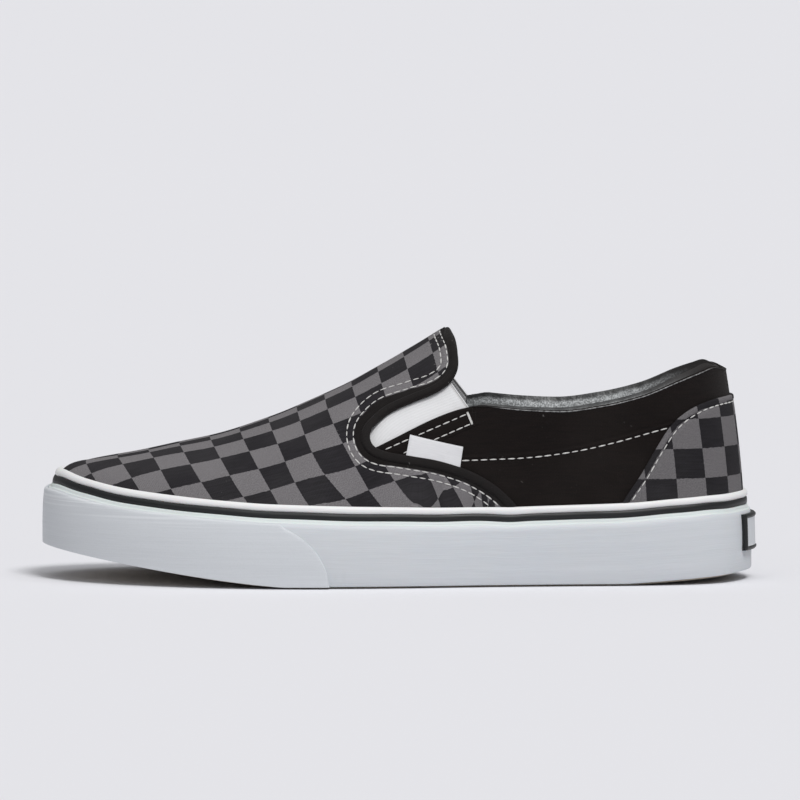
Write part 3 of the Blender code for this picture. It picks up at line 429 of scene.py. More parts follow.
class Last:
    """The shoe's form as a fine grid: ring angle by rise, from the sole's edge to the top."""

    def __init__(self, outline):
        self.angles = np.arange(RING) * 2 * math.pi / RING
        self.rises = np.linspace(0, 1, RISE)
        edge = ring_smoothed(outline.inset(self.angles, TAPE_THICKNESS + GAP))
        base_height = bottom_height(edge[:, 0] / SOLE_LENGTH) + OUTSOLE_THICKNESS + GAP
        base = np.column_stack([edge, base_height])
        share = (1 - np.cos(self.angles)) / 2
        along = TOP_LINE[0][0] + share * (TOP_LINE[-1][0] - TOP_LINE[0][0])
        height, centre, half, turn, lower, upper = open_spline(TOP_LINE, along).T
        rounding = np.clip((along - TOP_LINE[-1][0] + ANKLE_ROUNDING) / ANKLE_ROUNDING, 0, 1)
        half = half * np.sqrt(np.clip(1 - rounding**2, 0, 1))
        side = np.where(self.angles < math.pi, -1.0, 1.0)
        top = np.column_stack(
            [along * SOLE_LENGTH, (centre + side * half) * BALL_WIDTH, height * TAB_HEIGHT]
        )
        ridge_slope = self._ridge_slope(along)
        across = top[:, :2] - base[:, :2]
        across /= np.maximum(np.linalg.norm(across, axis=1, keepdims=True), 1e-6)
        turn = np.radians(turn)
        climb = across[:, 0] * ridge_slope * np.cos(turn)
        arrive = np.column_stack([across * np.cos(turn)[:, None], np.sin(turn) + climb])
        arrive /= np.linalg.norm(arrive, axis=1, keepdims=True)
        chord = np.linalg.norm(top - base, axis=1, keepdims=True)
        lower_end = base + np.array([0, 0, 1.0]) * chord * lower[:, None]
        upper_end = top - arrive * chord * upper[:, None]
        t = self.rises[None, :, None]
        self.points = (
            base[:, None] * (1 - t) ** 3
            + 3 * lower_end[:, None] * t * (1 - t) ** 2
            + 3 * upper_end[:, None] * t**2 * (1 - t)
            + top[:, None] * t**3
        )
        self.normals = self._normals(ridge_slope, half < 1e-5)
        steps = np.linalg.norm(np.diff(self.points, axis=1), axis=2)
        climbed = np.concatenate([np.zeros((RING, 1)), np.cumsum(steps, axis=1)], axis=1)
        self.climbed = climbed[..., None]

    def _ridge_slope(self, along):
        small = 0.004
        ahead = open_spline(TOP_LINE, along + small)[:, 0]
        behind = open_spline(TOP_LINE, along - small)[:, 0]
        return (ahead - behind) * TAB_HEIGHT / (2 * small * SOLE_LENGTH)

    def _normals(self, ridge_slope, on_ridge):
        around = np.roll(self.points, -1, 0) - np.roll(self.points, 1, 0)
        normal = np.cross(around, np.gradient(self.points, axis=1))
        normal /= np.maximum(np.linalg.norm(normal, axis=2, keepdims=True), 1e-12)
        ridge = np.column_stack([-ridge_slope, np.zeros(RING), np.ones(RING)])
        ridge /= np.linalg.norm(ridge, axis=1, keepdims=True)
        normal[on_ridge, -1] = ridge[on_ridge]
        return normal

    def _read(self, grid, angle, rise):
        i = np.mod(np.asarray(angle, float) / (2 * math.pi) * RING, RING)
        j = np.clip(np.asarray(rise, float), 0, 1) * (RISE - 1)
        i0, j0 = np.floor(i).astype(int), np.minimum(np.floor(j).astype(int), RISE - 2)
        u, v = (i - i0)[..., None], (j - j0)[..., None]
        i0, i1 = i0 % RING, (i0 + 1) % RING
        below = grid[i0, j0] * (1 - u) + grid[i1, j0] * u
        above = grid[i0, j0 + 1] * (1 - u) + grid[i1, j0 + 1] * u
        return below * (1 - v) + above * v

    def normal(self, angle, rise):
        found = self._read(self.normals, angle, rise)
        return found / np.linalg.norm(found, axis=-1, keepdims=True)

    def at(self, angle, rise, out=0.0):
        """A place on the form, moved outwards by out."""
        return self._read(self.points, angle, rise) + self.normal(angle, rise) * np.asarray(out)[..., None]

    def climb(self, angle, rise):
        """Length of surface from the sole's edge up to a rise."""
        return self._read(self.climbed, angle, rise)[..., 0]

    def edge(self, angle, inward=0.0):
        """The form's lower edge seen from above, moved inwards."""
        return self.at(angle, np.zeros_like(angle), -np.asarray(inward))[..., :2]

    def section(self, angle):
        where = np.full(RISE, angle)
        return self._read(self.points, where, self.rises), self._read(self.climbed, where, self.rises)[:, 0]

    def rise_at(self, angle, level):
        """The rise at which a section first reaches a side-view line."""
        points, _ = self.section(angle)
        over = points[:, 2] - level(points[:, 0] / SOLE_LENGTH)
        if over.max() < 0:
            return 1.0
        first = int(np.argmax(over >= 0))
        if first == 0:
            return 0.0
        share = over[first - 1] / (over[first - 1] - over[first])
        return float(self.rises[first - 1] + share * (self.rises[first] - self.rises[first - 1]))

    def rise_below(self, angle, rise, drop):
        """The rise at a length of surface below another rise, and what is left of that length
        under the form's lower edge."""
        _, climbed = self.section(angle)
        place = float(np.interp(rise, self.rises, climbed)) - drop
        return float(np.interp(place, climbed, self.rises)), max(0.0, -place)

    def tape_top(self, angle):
        return self.rise_at(angle, side_line(TAPE_TOP))

    def ledge_rise(self, angle):
        """The rise at the side tape's ledge, where its main band starts."""
        ledge = TAPE_PIPING + STRIPE_WIDTH + TAPE_LEDGE + 0.0003
        return self.rise_below(angle, self.tape_top(angle), ledge)[0]

    def base_height(self, x):
        return float(bottom_height(x / SOLE_LENGTH)) + OUTSOLE_THICKNESS + GAP

    def band(self, angle, drop, out):
        """A place on the side tape: a drop below its top edge and a distance out of the form."""
        rise, left = self.rise_below(angle, self.tape_top(angle), drop)
        return self.at(angle, rise, out) - np.array([0, 0, left])

    def tape_foot(self, angle, out):
        """A place at the side tape's lower edge."""
        return self.at(angle, 0.0, out) - np.array([0, 0, OUTSOLE_THICKNESS + GAP - TREAD_WRAP])

    def on_side(self, places, side):
        """Ring angles and rises of places given by x and z, on the side given by its sign."""
        half = RING // 2
        ring = np.arange(half + 1) if side < 0 else (RING - np.arange(half + 1)) % RING
        grid = self.points[ring]
        rows = np.arange(half + 1)
        angles = rows * 2 * math.pi / RING
        found = []
        for x, z in places:
            over = grid[:, :, 2] >= z
            first = over.argmax(axis=1)
            before = np.maximum(first - 1, 0)
            low, high = grid[rows, before], grid[rows, first]
            share = (z - low[:, 2]) / np.maximum(high[:, 2] - low[:, 2], 1e-9)
            here = low[:, 0] + share * (high[:, 0] - low[:, 0])
            rise = (before + share) / (RISE - 1)
            use = over.any(axis=1) & (first > 0)
            found.append([np.interp(x, here[use], angles[use]), np.interp(x, here[use], rise[use])])
        angle, rise = np.array(found).T
        return (angle if side < 0 else 2 * math.pi - angle), rise


def side_line(rows):
    """A side-view table as a function: its height at a share of SOLE_LENGTH."""
    return lambda along: open_spline(rows, along)[..., 0] * TAB_HEIGHT


def side_points(rows):
    """A side-view table as places in x and z."""
    return np.array(rows, float) * (SOLE_LENGTH, TAB_HEIGHT)


class VampEdge:
    """The vamp's rear edge seen from the side, read by the length from its foremost place:
    negative up to the throat, positive down to the sole."""

    def __init__(self):
        self.path = smooth_path(side_points(VAMP_EDGE), 600)
        length = np.concatenate([[0], np.cumsum(np.linalg.norm(np.diff(self.path, axis=0), axis=1))])
        self.length = length - length[self.path[:, 0].argmin()]
        run = np.gradient(self.path, axis=0)
        run /= np.linalg.norm(run, axis=1, keepdims=True)
        self.forward = np.column_stack([run[:, 1], -run[:, 0]])

    def at(self, length, forward=0.0):
        moved = self.path + self.forward * forward
        return np.stack([np.interp(length, self.length, moved[:, k]) for k in range(2)], axis=-1)

    def line(self, first, last, count, forward=0.0):
        return self.at(np.linspace(first, last, count), forward)


def ramp(value, low, high):
    """0 below low, 1 above high, with a smooth step between."""
    t = np.clip((np.asarray(value, float) - low) / (high - low), 0, 1)
    return t * t * (3 - 2 * t)


def line_distance(places, path):
    """Distance of side-view places from a path, and the length along it at the nearest point."""
    places = np.asarray(places, float)
    flat = places.reshape(-1, 2)
    step = np.concatenate([[0], np.cumsum(np.linalg.norm(np.diff(path, axis=0), axis=1))])
    nearest = np.empty(len(flat), int)
    for start in range(0, len(flat), 4000):
        part = flat[start : start + 4000]
        nearest[start : start + 4000] = ((part[:, None] - path[None]) ** 2).sum(-1).argmin(axis=1)
    run = np.gradient(path, axis=0)
    side = np.stack([run[:, 1], -run[:, 0]], -1) / np.linalg.norm(run, axis=1, keepdims=True)
    away = flat - path[nearest]
    signed = np.linalg.norm(away, axis=1) * np.sign((away * side[nearest]).sum(-1))
    return signed.reshape(places.shape[:-1]), step[nearest].reshape(places.shape[:-1])


def creased(places):
    """How far the cloth stands in or out at places on the form, from the crease table."""
    flat = places[..., [0, 2]]
    total = np.zeros(flat.shape[:-1])
    for row in CREASES:
        start = np.array([row[0] * SOLE_LENGTH, row[1] * TAB_HEIGHT])
        run = np.array([row[2] * SOLE_LENGTH, row[3] * TAB_HEIGHT]) - start
        share = np.clip(((flat - start) @ run) / (run @ run), 0, 1)[..., None]
        away = np.linalg.norm(flat - start - share * run, axis=-1)
        total -= row[5] * np.exp(-((away / row[4]) ** 2))
    return total * ramp(places[..., 2] / TAB_HEIGHT, 0.34, 0.46)


def row_inset(length):
    """How much further in the vamp's stitches lie, most of all round its foremost place."""
    round_place = np.exp(-(((length + 0.004) / 0.020) ** 2))
    return ROW_INSET * np.maximum(round_place, 0.5 * ramp(length, 0.0, 0.010))


class Ridge:
    """The instep ridge as a line, for unrolling the vamp's cloth."""

    def __init__(self):
        self.along = np.linspace(TOP_LINE[0][0], TOP_LINE[-1][0], 2000)
        rows = open_spline(TOP_LINE, self.along)
        self.x, self.z = self.along * SOLE_LENGTH, rows[:, 0] * TAB_HEIGHT
        self.centre = rows[:, 1] * BALL_WIDTH
        self.length = np.concatenate([[0], np.cumsum(np.hypot(np.diff(self.x), np.diff(self.z)))])
        self.slope = np.gradient(self.z, self.x)

    def unrolled(self, last, angles, rises):
        """Places on the flat cloth: along the ridge, and across from it."""
        share = (1 - np.cos(angles)) / 2
        along = TOP_LINE[0][0] + share * (TOP_LINE[-1][0] - TOP_LINE[0][0])
        tops = last.at(angles, np.ones_like(angles))
        slope = np.interp(along, self.along, self.slope)
        tangent = np.stack([np.ones_like(slope), np.zeros_like(slope), slope], -1)
        tangent /= np.linalg.norm(tangent, axis=-1, keepdims=True)
        moved = last.at(angles, rises) - tops
        whole = last.climb(angles, np.ones_like(angles))
        gone = whole - last.climb(angles, rises)
        ahead = -(moved * tangent).sum(-1)
        across = np.abs(moved[..., 1])
        spare = np.maximum(gone**2 - ahead**2 - across**2, 0)
        turn = (ahead**2 / (ahead**2 + across**2 + 1e-12)) ** 2
        u = np.interp(along, self.along, self.length) - np.sign(ahead) * np.sqrt(ahead**2 + turn * spare)
        half = np.abs(tops[..., 1] - np.interp(along, self.along, self.centre))
        return u, half + np.sqrt(across**2 + (1 - turn) * spare)

    def checks(self, last, angles, rises):
        """Check numbers on the vamp: whole numbers are the lines between the checks."""
        u, v = (10 * length for length in self.unrolled(last, angles, rises))
        first = CHECK_ALONG[0] + CHECK_ALONG[1] * u + CHECK_ALONG[2] * u * u
        first += (CHECK_LEAN[0] + CHECK_LEAN[1] * u) * v * v
        second = (CHECK_ACROSS[0] + CHECK_ACROSS[1] * u + CHECK_ACROSS[2] * v * v) * v
        side = np.where(np.mod(angles, 2 * math.pi) > math.pi, -1.0, 1.0)
        middle = CHECK_MIDDLE[0] + CHECK_MIDDLE[1] * u + CHECK_MIDDLE[2] * u * u
        return np.stack([first, middle + side * second], -1)


class Pattern:
    """Points, faces and flat places gathered for one mesh. cloth is the place on the piece's
    own cloth or tape; seam is the distance from a seam and the length along it."""

    def __init__(self):
        self.points, self.faces, self.cloth, self.seam = [], [], [], []

    def add(self, points, cloth=None, seam=None):
        points = np.asarray(points, float)
        numbers = np.arange(points[..., 0].size).reshape(points.shape[:-1]) + len(self.points)
        self.points.extend(points.reshape(-1, 3))
        for kept, given in ((self.cloth, cloth), (self.seam, seam)):
            flat = np.zeros((numbers.size, 2)) if given is None else np.asarray(given, float).reshape(-1, 2)
            kept.extend(flat)
        return numbers

    def sheet(self, numbers, where=None):
        """Four-sided faces between neighbouring rows, all of them or those marked."""
        corners = [numbers[:-1, :-1], numbers[:-1, 1:], numbers[1:, 1:], numbers[1:, :-1]]
        quads = np.stack(corners, -1)
        quads = quads.reshape(-1, 4) if where is None else quads[where]
        self.faces.extend(map(tuple, quads))
        return quads

    def between(self, rows):
        self.sheet(np.array(rows))

    def wall(self, inner, outer):
        """Two sheets of the same layout, joined along their four borders."""
        self.sheet(inner)
        self.sheet(outer)
        for border in (lambda g: g[0], lambda g: g[-1], lambda g: g[:, 0], lambda g: g[:, -1]):
            self.between([border(inner), border(outer)])

    def tube(self, sections, closed, cloth=None, seam=None):
        """A solid through sections, joined end to end or capped."""
        numbers = self.add(sections, cloth, seam)
        numbers = np.concatenate([numbers, numbers[:, :1]], axis=1)
        if closed:
            self.sheet(np.concatenate([numbers, numbers[:1]]))
            return
        self.sheet(numbers)
        self.faces.append(tuple(numbers[0, :-1]))
        self.faces.append(tuple(numbers[-1, :-1]))

    def rim(self, quads, shift):
        """Faces round the open border of the marked quads, to their copies shifted along."""
        seen = {}
        for quad in quads:
            for a, b in zip(quad, np.roll(quad, -1)):
                key = (min(a, b), max(a, b))
                seen[key] = seen.get(key, 0) + 1
        for (a, b), times in seen.items():
            if times == 1:
                self.faces.append((a, b, b + shift, a + shift))


def finished(name, pattern, finish, slot, *nodes, crease=math.radians(45)):
    """The piece itself: a mesh in the frame's place with its material, and the frame's nodes that it stands
    for hidden.
    """
    corner = np.array([number for face in pattern.faces for number in face])
    mesh = bpy.data.meshes.new(name)
    mesh.from_pydata(np.array(pattern.points) + SHIFT, [], pattern.faces)
    for layer, kept in (("cloth", pattern.cloth), ("seam", pattern.seam)):
        places = mesh.uv_layers.new(name=layer).data
        places.foreach_set("uv", np.array(kept)[corner].ravel())
    bm = bmesh.new()
    bm.from_mesh(mesh)
    bmesh.ops.delete(bm, geom=[vertex for vertex in bm.verts if not vertex.link_faces], context="VERTS")
    bmesh.ops.remove_doubles(bm, verts=bm.verts, dist=2e-6)
    bmesh.ops.dissolve_degenerate(bm, edges=bm.edges, dist=1e-7)
    bmesh.ops.recalc_face_normals(bm, faces=bm.faces)
    if bm.calc_volume(signed=True) < 0:
        bmesh.ops.reverse_faces(bm, faces=bm.faces)
    bm.to_mesh(mesh)
    bm.free()
    mesh.shade_smooth()
    mesh.set_sharp_from_angle(angle=crease)
    mesh.materials.append(finish)
    obj = bpy.data.objects.new(name, mesh)
    bpy.context.scene.collection.objects.link(obj)
    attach(obj, "root")
    if nodes:
        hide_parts(*nodes)
    return obj


# Nodes of the materials


class Board:
    """A node tree being filled: places nodes and joins them."""

    def __init__(self, tree):
        self.tree, self.nodes = tree, tree.nodes

    def put(self, kind, inputs=(), out=0, **settings):
        """Places a node, fills its inputs by name or number, and gives one of its outputs."""
        node = self.nodes.new(kind)
        for key, value in settings.items():
            setattr(node, key, value)
        for key, value in dict(inputs).items():
            self.join(node.inputs[key], value)
        return node.outputs[out]

    def join(self, socket, value):
        if isinstance(value, bpy.types.NodeSocket):
            self.tree.links.new(value, socket)
        else:
            socket.default_value = value

    def calc(self, operation, a, b=0.0, c=0.0):
        return self.put("ShaderNodeMath", {0: a, 1: b, 2: c}, operation=operation)

    def vector(self, operation, a, b):
        return self.put("ShaderNodeVectorMath", {0: a, 1: b}, operation=operation)

    def mixed(self, share, a, b, blend="MIX"):
        """A colour between two."""
        given = {"Factor": share, "A": a, "B": b}
        node = self.nodes.new("ShaderNodeMix")
        node.data_type, node.blend_type = "RGBA", blend
        for socket in node.inputs:
            if socket.name in given and (socket.type == "RGBA" or socket.identifier == "Factor_Float"):
                self.join(socket, given[socket.name])
        return [socket for socket in node.outputs if socket.type == "RGBA"][0]

    def range(self, value, low, high, first=0.0, last=1.0):
        given = {"Value": value, "From Min": low, "From Max": high, "To Min": first, "To Max": last}
        return self.put("ShaderNodeMapRange", given, interpolation_type="SMOOTHSTEP")

    def noise(self, place, scale, detail=2.0, out="Fac", **more):
        given = {"Vector": place, "Scale": scale, "Detail": detail}
        return self.put("ShaderNodeTexNoise", given, out=out, **more)

    def tones(self, value, low, high, colour, first, last):
        """One colour at two strengths, from first at a low value to last at a high one."""
        given = [rgb([strength * part for part in colour]) for strength in (first, last)]
        return self.mixed(self.range(value, low, high), *given)

    def layer(self, name):
        return self.put("ShaderNodeUVMap", uv_map=name)

    def solid(self):
        return self.put("ShaderNodeTexCoord", out="Object")

    def stretched(self, place, x, y, z=1.0):
        return self.vector("MULTIPLY", place, (x, y, z))

    def parts(self, place):
        node = self.nodes.new("ShaderNodeSeparateXYZ")
        self.join(node.inputs[0], place)
        return node.outputs[0], node.outputs[1], node.outputs[2]

    def group(self, tree, inputs=(), out=0):
        node = self.nodes.new("ShaderNodeGroup")
        node.node_tree = tree
        for key, value in dict(inputs).items():
            self.join(node.inputs[key], value)
        return node.outputs[out]


def new_group(name, sockets, outputs, kind="ShaderNodeTree"):
    """An empty node group with named sockets, and its board, inputs and output node."""
    tree = bpy.data.node_groups.new(name, kind)
    for label, socket, value in sockets:
        made = tree.interface.new_socket(label, in_out="INPUT", socket_type=socket)
        if value is not None:
            made.default_value = value
    for label, socket in outputs:
        tree.interface.new_socket(label, in_out="OUTPUT", socket_type=socket)
    board = Board(tree)
    given = tree.nodes.new("NodeGroupInput")
    result = tree.nodes.new("NodeGroupOutput")
    return tree, board, given.outputs, result.inputs


def weave_group():
    """Plain weave over a flat place: the height of the threads, and which set is on top."""
    sockets = [("Place", "NodeSocketVector", None), ("Threads", "NodeSocketFloat", 20.0)]
    outputs = [("Height", "NodeSocketFloat"), ("Over", "NodeSocketFloat"), ("Slub", "NodeSocketFloat")]
    tree, b, given, result = new_group("Weave", sockets, outputs)
    wander = b.noise(given["Place"], 6.0, 2.0, out="Color")
    place = b.vector("ADD", given["Place"], b.vector("MULTIPLY", wander, (0.03, 0.03, 0.0)))
    count = b.put("ShaderNodeVectorMath", {0: place, "Scale": given["Threads"]}, operation="SCALE")
    x, y, _ = b.parts(count)
    lap = b.calc("ADD", b.calc("FLOOR", x), b.calc("FLOOR", y))
    over = b.calc("FLOORED_MODULO", lap, 2.0)
    warp = b.calc("ABSOLUTE", b.calc("SINE", b.calc("MULTIPLY", x, math.pi)))
    weft = b.calc("ABSOLUTE", b.calc("SINE", b.calc("MULTIPLY", y, math.pi)))
    under = b.calc("MULTIPLY", weft, b.calc("SUBTRACT", 1.0, over))
    high = b.calc("ADD", b.calc("MULTIPLY", warp, over), under)
    slub = b.noise(b.stretched(count, 0.06, 0.9), 1.0, 3.0)
    b.join(result["Height"], b.calc("ADD", high, b.calc("MULTIPLY", slub, 0.6)))
    b.join(result["Over"], over)
    b.join(result["Slub"], slub)
    return tree


def groove_group():
    """A stitched groove or a raised edge at a distance from a seam, puckered along its length."""
    sockets = [
        ("Distance", "NodeSocketFloat", 0.0), ("Length", "NodeSocketFloat", 0.0),
        ("Middle", "NodeSocketFloat", 0.0), ("Width", "NodeSocketFloat", 0.001),
        ("Pitch", "NodeSocketFloat", 0.0035),
    ]
    tree, b, given, result = new_group("Groove", sockets, [("Height", "NodeSocketFloat")])
    away = b.calc("DIVIDE", b.calc("SUBTRACT", given["Distance"], given["Middle"]), given["Width"])
    dip = b.calc("EXPONENT", b.calc("MULTIPLY", b.calc("MULTIPLY", away, away), -1.0))
    beat = b.calc("SINE", b.calc("DIVIDE", b.calc("MULTIPLY", given["Length"], 2 * math.pi), given["Pitch"]))
    pucker = b.calc("MULTIPLY_ADD", beat, 0.25, 0.75)
    b.join(result["Height"], b.calc("MULTIPLY", b.calc("MULTIPLY", dip, pucker), -1.0))
    return tree


def lint_group():
    """Sparse lint and dust: short pale specks, and a thin patchy film."""
    sockets = [("Place", "NodeSocketVector", None), ("Scale", "NodeSocketFloat", 300.0)]
    outputs = [("Specks", "NodeSocketFloat"), ("Film", "NodeSocketFloat")]
    tree, b, given, result = new_group("Lint", sockets, outputs)
    wander = b.noise(given["Place"], 90.0, 2.0, out="Color")
    bent = b.vector("ADD", given["Place"], b.vector("MULTIPLY", wander, (0.01, 0.01, 0.01)))
    cells = b.put("ShaderNodeTexVoronoi", {"Vector": bent, "Scale": given["Scale"]}, out="Distance")
    rare = b.range(b.noise(given["Place"], 60.0, 3.0), 0.60, 0.68)
    b.join(result["Specks"], b.calc("MULTIPLY", b.range(cells, 0.16, 0.08), rare))
    b.join(result["Film"], b.range(b.noise(given["Place"], 22.0, 5.0), 0.35, 0.75))
    return tree


def rubber_group():
    """Rubber pressed and rolled in strips: fine streaks along the tape and soft cloudy marks."""
    sockets = [
        ("Tape place", "NodeSocketVector", None), ("Place", "NodeSocketVector", None),
        ("Streak", "NodeSocketFloat", 1.0),
    ]
    outputs = [("Height", "NodeSocketFloat"), ("Streaks", "NodeSocketFloat"), ("Clouds", "NodeSocketFloat")]
    tree, b, given, result = new_group("Rubber", sockets, outputs)
    fine = b.noise(b.stretched(given["Tape place"], 60.0, 2600.0), 1.0, 3.0)
    broad = b.noise(b.stretched(given["Tape place"], 14.0, 500.0), 1.0, 3.0)
    clouds = b.noise(given["Place"], 26.0, 4.0)
    streaks = b.calc("ADD", b.calc("MULTIPLY", fine, 0.55), b.calc("MULTIPLY", broad, 0.45))
    swell = b.noise(given["Place"], 70.0, 2.0)
    height = b.calc("MULTIPLY_ADD", streaks, given["Streak"], b.calc("MULTIPLY", swell, 1.4))
    b.join(result["Height"], height)
    b.join(result["Streaks"], streaks)
    b.join(result["Clouds"], clouds)
    return tree


def surface(name, colour, roughness, **plain):
    """A new material: its board and its shader, with what is the same all over already set."""
    made = bpy.data.materials.new(name)
    made.use_nodes = True
    shader = made.node_tree.nodes["Principled BSDF"]
    shader.inputs["Base Color"].default_value = (*colour, 1.0)
    shader.inputs["Roughness"].default_value = roughness
    for key, value in plain.items():
        shader.inputs[key.replace("_", " ").title().replace("Ior", "IOR")].default_value = value
    return made, Board(made.node_tree), shader.inputs


def bumped(board, shader, height, distance, strength=1.0):
    """Feeds a height in metres, or one scaled by a distance, into the shader's normal."""
    given = {"Height": height, "Distance": distance, "Strength": strength}
    board.join(shader["Normal"], board.put("ShaderNodeBump", given))


def rgb(colour):
    return (*colour, 1.0)


def checked_canvas(name, rows, strip, tone=1.0):
    """Printed checks on plain weave, with grooves under rows of stitches and a black edge."""
    colours = bpy.context.scene.sneaker_colours
    made, b, shader = surface(name, colours.check_grey, 0.86, specular_ior_level=0.18)
    place = b.layer("cloth")
    edge, length, _ = b.parts(b.layer("seam"))
    weave = Groups.weave
    height = b.group(weave, {"Place": place, "Threads": 21.0}, "Height")
    over = b.group(weave, {"Place": place, "Threads": 21.0}, "Over")
    slub = b.group(weave, {"Place": place, "Threads": 21.0}, "Slub")
    wander = b.vector("SUBTRACT", b.noise(place, 11.0, 3.0, out="Color"), (0.5, 0.5, 0.5))
    moved = b.vector("ADD", place, b.vector("MULTIPLY", wander, (0.05, 0.05, 0.0)))
    x, y, _ = b.parts(moved)
    count = b.calc("ADD", b.calc("FLOOR", x), b.calc("FLOOR", y))
    grey = b.calc("FLOORED_MODULO", count, 2.0)
    speck = b.noise(b.stretched(place, 24.0, 24.0), 1.0, 2.0)
    pale = b.tones(speck, 0.35, 0.65, colours.check_grey, 0.80, 1.16)
    pale = b.mixed(b.calc("MULTIPLY", over, 0.20), pale, rgb([0.62 * c for c in colours.check_grey]))
    dark = b.tones(slub, 0.3, 0.7, colours.check_black, 0.75, 1.35)
    cloth = b.mixed(grey, dark, pale)
    # Painted shade: a tone below one darkens this whole copy of the cloth.
    cloth = b.mixed(1.0 - tone, cloth, rgb((0.0, 0.0, 0.0)))
    cloth = b.mixed(b.range(edge, strip + 0.0002, strip - 0.0002), cloth, rgb(colours.binding))
    specks = b.group(Groups.lint, {"Place": b.solid(), "Scale": 420.0}, "Specks")
    film = b.group(Groups.lint, {"Place": b.solid(), "Scale": 420.0}, "Film")
    cloth = b.mixed(b.calc("MULTIPLY", film, 0.05), cloth, rgb((0.34, 0.33, 0.32)))
    cloth = b.mixed(b.calc("MULTIPLY", specks, 0.35), cloth, rgb((0.45, 0.44, 0.43)))
    b.join(shader["Base Color"], cloth)
    b.join(shader["Roughness"], b.range(slub, 0.2, 0.8, 0.78, 0.94))
    tall = b.calc("MULTIPLY", height, 0.00009)
    for row in rows:
        groove = b.group(Groups.groove, {"Distance": edge, "Length": length, "Middle": row, "Width": 0.0009})
        tall = b.calc("MULTIPLY_ADD", groove, 0.0003, tall)
    soft = b.noise(b.solid(), 55.0, 3.0)
    tall = b.calc("MULTIPLY_ADD", soft, 0.00035, tall)
    bumped(b, shader, tall, 1.0)
    return made


def black_canvas():
    """Warm black canvas with a little lint."""
    colours = bpy.context.scene.sneaker_colours
    made, b, shader = surface("black_canvas", colours.canvas, 0.9, specular_ior_level=0.12,
                              sheen_weight=0.05, sheen_roughness=0.5)
    place = b.layer("cloth")
    seam, front, _ = b.parts(b.layer("seam"))
    height = b.group(Groups.weave, {"Place": place, "Threads": 1700.0}, "Height")
    slub = b.group(Groups.weave, {"Place": place, "Threads": 1700.0}, "Slub")
    dark = b.tones(slub, 0.25, 0.75, colours.canvas, 0.7, 1.4)
    film = b.group(Groups.lint, {"Place": b.solid(), "Scale": 380.0}, "Film")
    specks = b.group(Groups.lint, {"Place": b.solid(), "Scale": 380.0}, "Specks")
    dark = b.mixed(b.calc("MULTIPLY", film, 0.018), dark, rgb((0.34, 0.30, 0.27)))
    dark = b.mixed(b.calc("MULTIPLY", specks, 0.25), dark, rgb((0.40, 0.38, 0.36)))
    b.join(shader["Base Color"], dark)
    b.join(shader["Roughness"], b.range(slub, 0.2, 0.8, 0.82, 0.96))
    tall = b.calc("MULTIPLY", height, 0.00008)
    tall = b.calc("MULTIPLY_ADD", b.range(seam, -0.0008, 0.0004), 0.0005, tall)
    groove = b.group(Groups.groove, {"Distance": seam, "Length": front, "Middle": 0.0012, "Width": 0.0008})
    tall = b.calc("MULTIPLY_ADD", groove, 0.0003, tall)
    for row in FRONT_ROWS:
        groove = b.group(Groups.groove, {"Distance": front, "Length": seam, "Middle": row, "Width": 0.0008})
        tall = b.calc("MULTIPLY_ADD", groove, 0.0003, tall)
    tall = b.calc("MULTIPLY_ADD", b.range(front, 0.0086, 0.0078), 0.0004, tall)
    tall = b.calc("MULTIPLY_ADD", b.noise(b.solid(), 60.0, 3.0), 0.0005, tall)
    bumped(b, shader, tall, 1.0)
    return made


def twill_tape(name, colour, sheen):
    """Twill folded over an edge: slanted ribs and small puckers."""
    made, b, shader = surface(name, colour, 0.8, specular_ior_level=0.2, sheen_weight=sheen,
                              sheen_roughness=0.45)
    place = b.layer("cloth")
    x, y, _ = b.parts(place)
    slant = b.calc("ADD", b.calc("MULTIPLY", x, 1500.0), b.calc("MULTIPLY", y, 1100.0))
    rib = b.calc("ABSOLUTE", b.calc("SINE", b.calc("MULTIPLY", slant, math.pi)))
    pucker = b.noise(b.stretched(place, 330.0, 45.0), 1.0, 2.0)
    shade = b.tones(pucker, 0.3, 0.7, colour, 0.75, 1.3)
    film = b.group(Groups.lint, {"Place": b.solid(), "Scale": 420.0}, "Specks")
    b.join(shader["Base Color"], b.mixed(b.calc("MULTIPLY", film, 0.25), shade, rgb((0.4, 0.38, 0.37))))
    b.join(shader["Roughness"], b.range(pucker, 0.2, 0.8, 0.70, 0.90))
    tall = b.calc("MULTIPLY", rib, 0.00007)
    tall = b.calc("MULTIPLY_ADD", pucker, 0.00040, tall)
    bumped(b, shader, tall, 1.0)
    return made


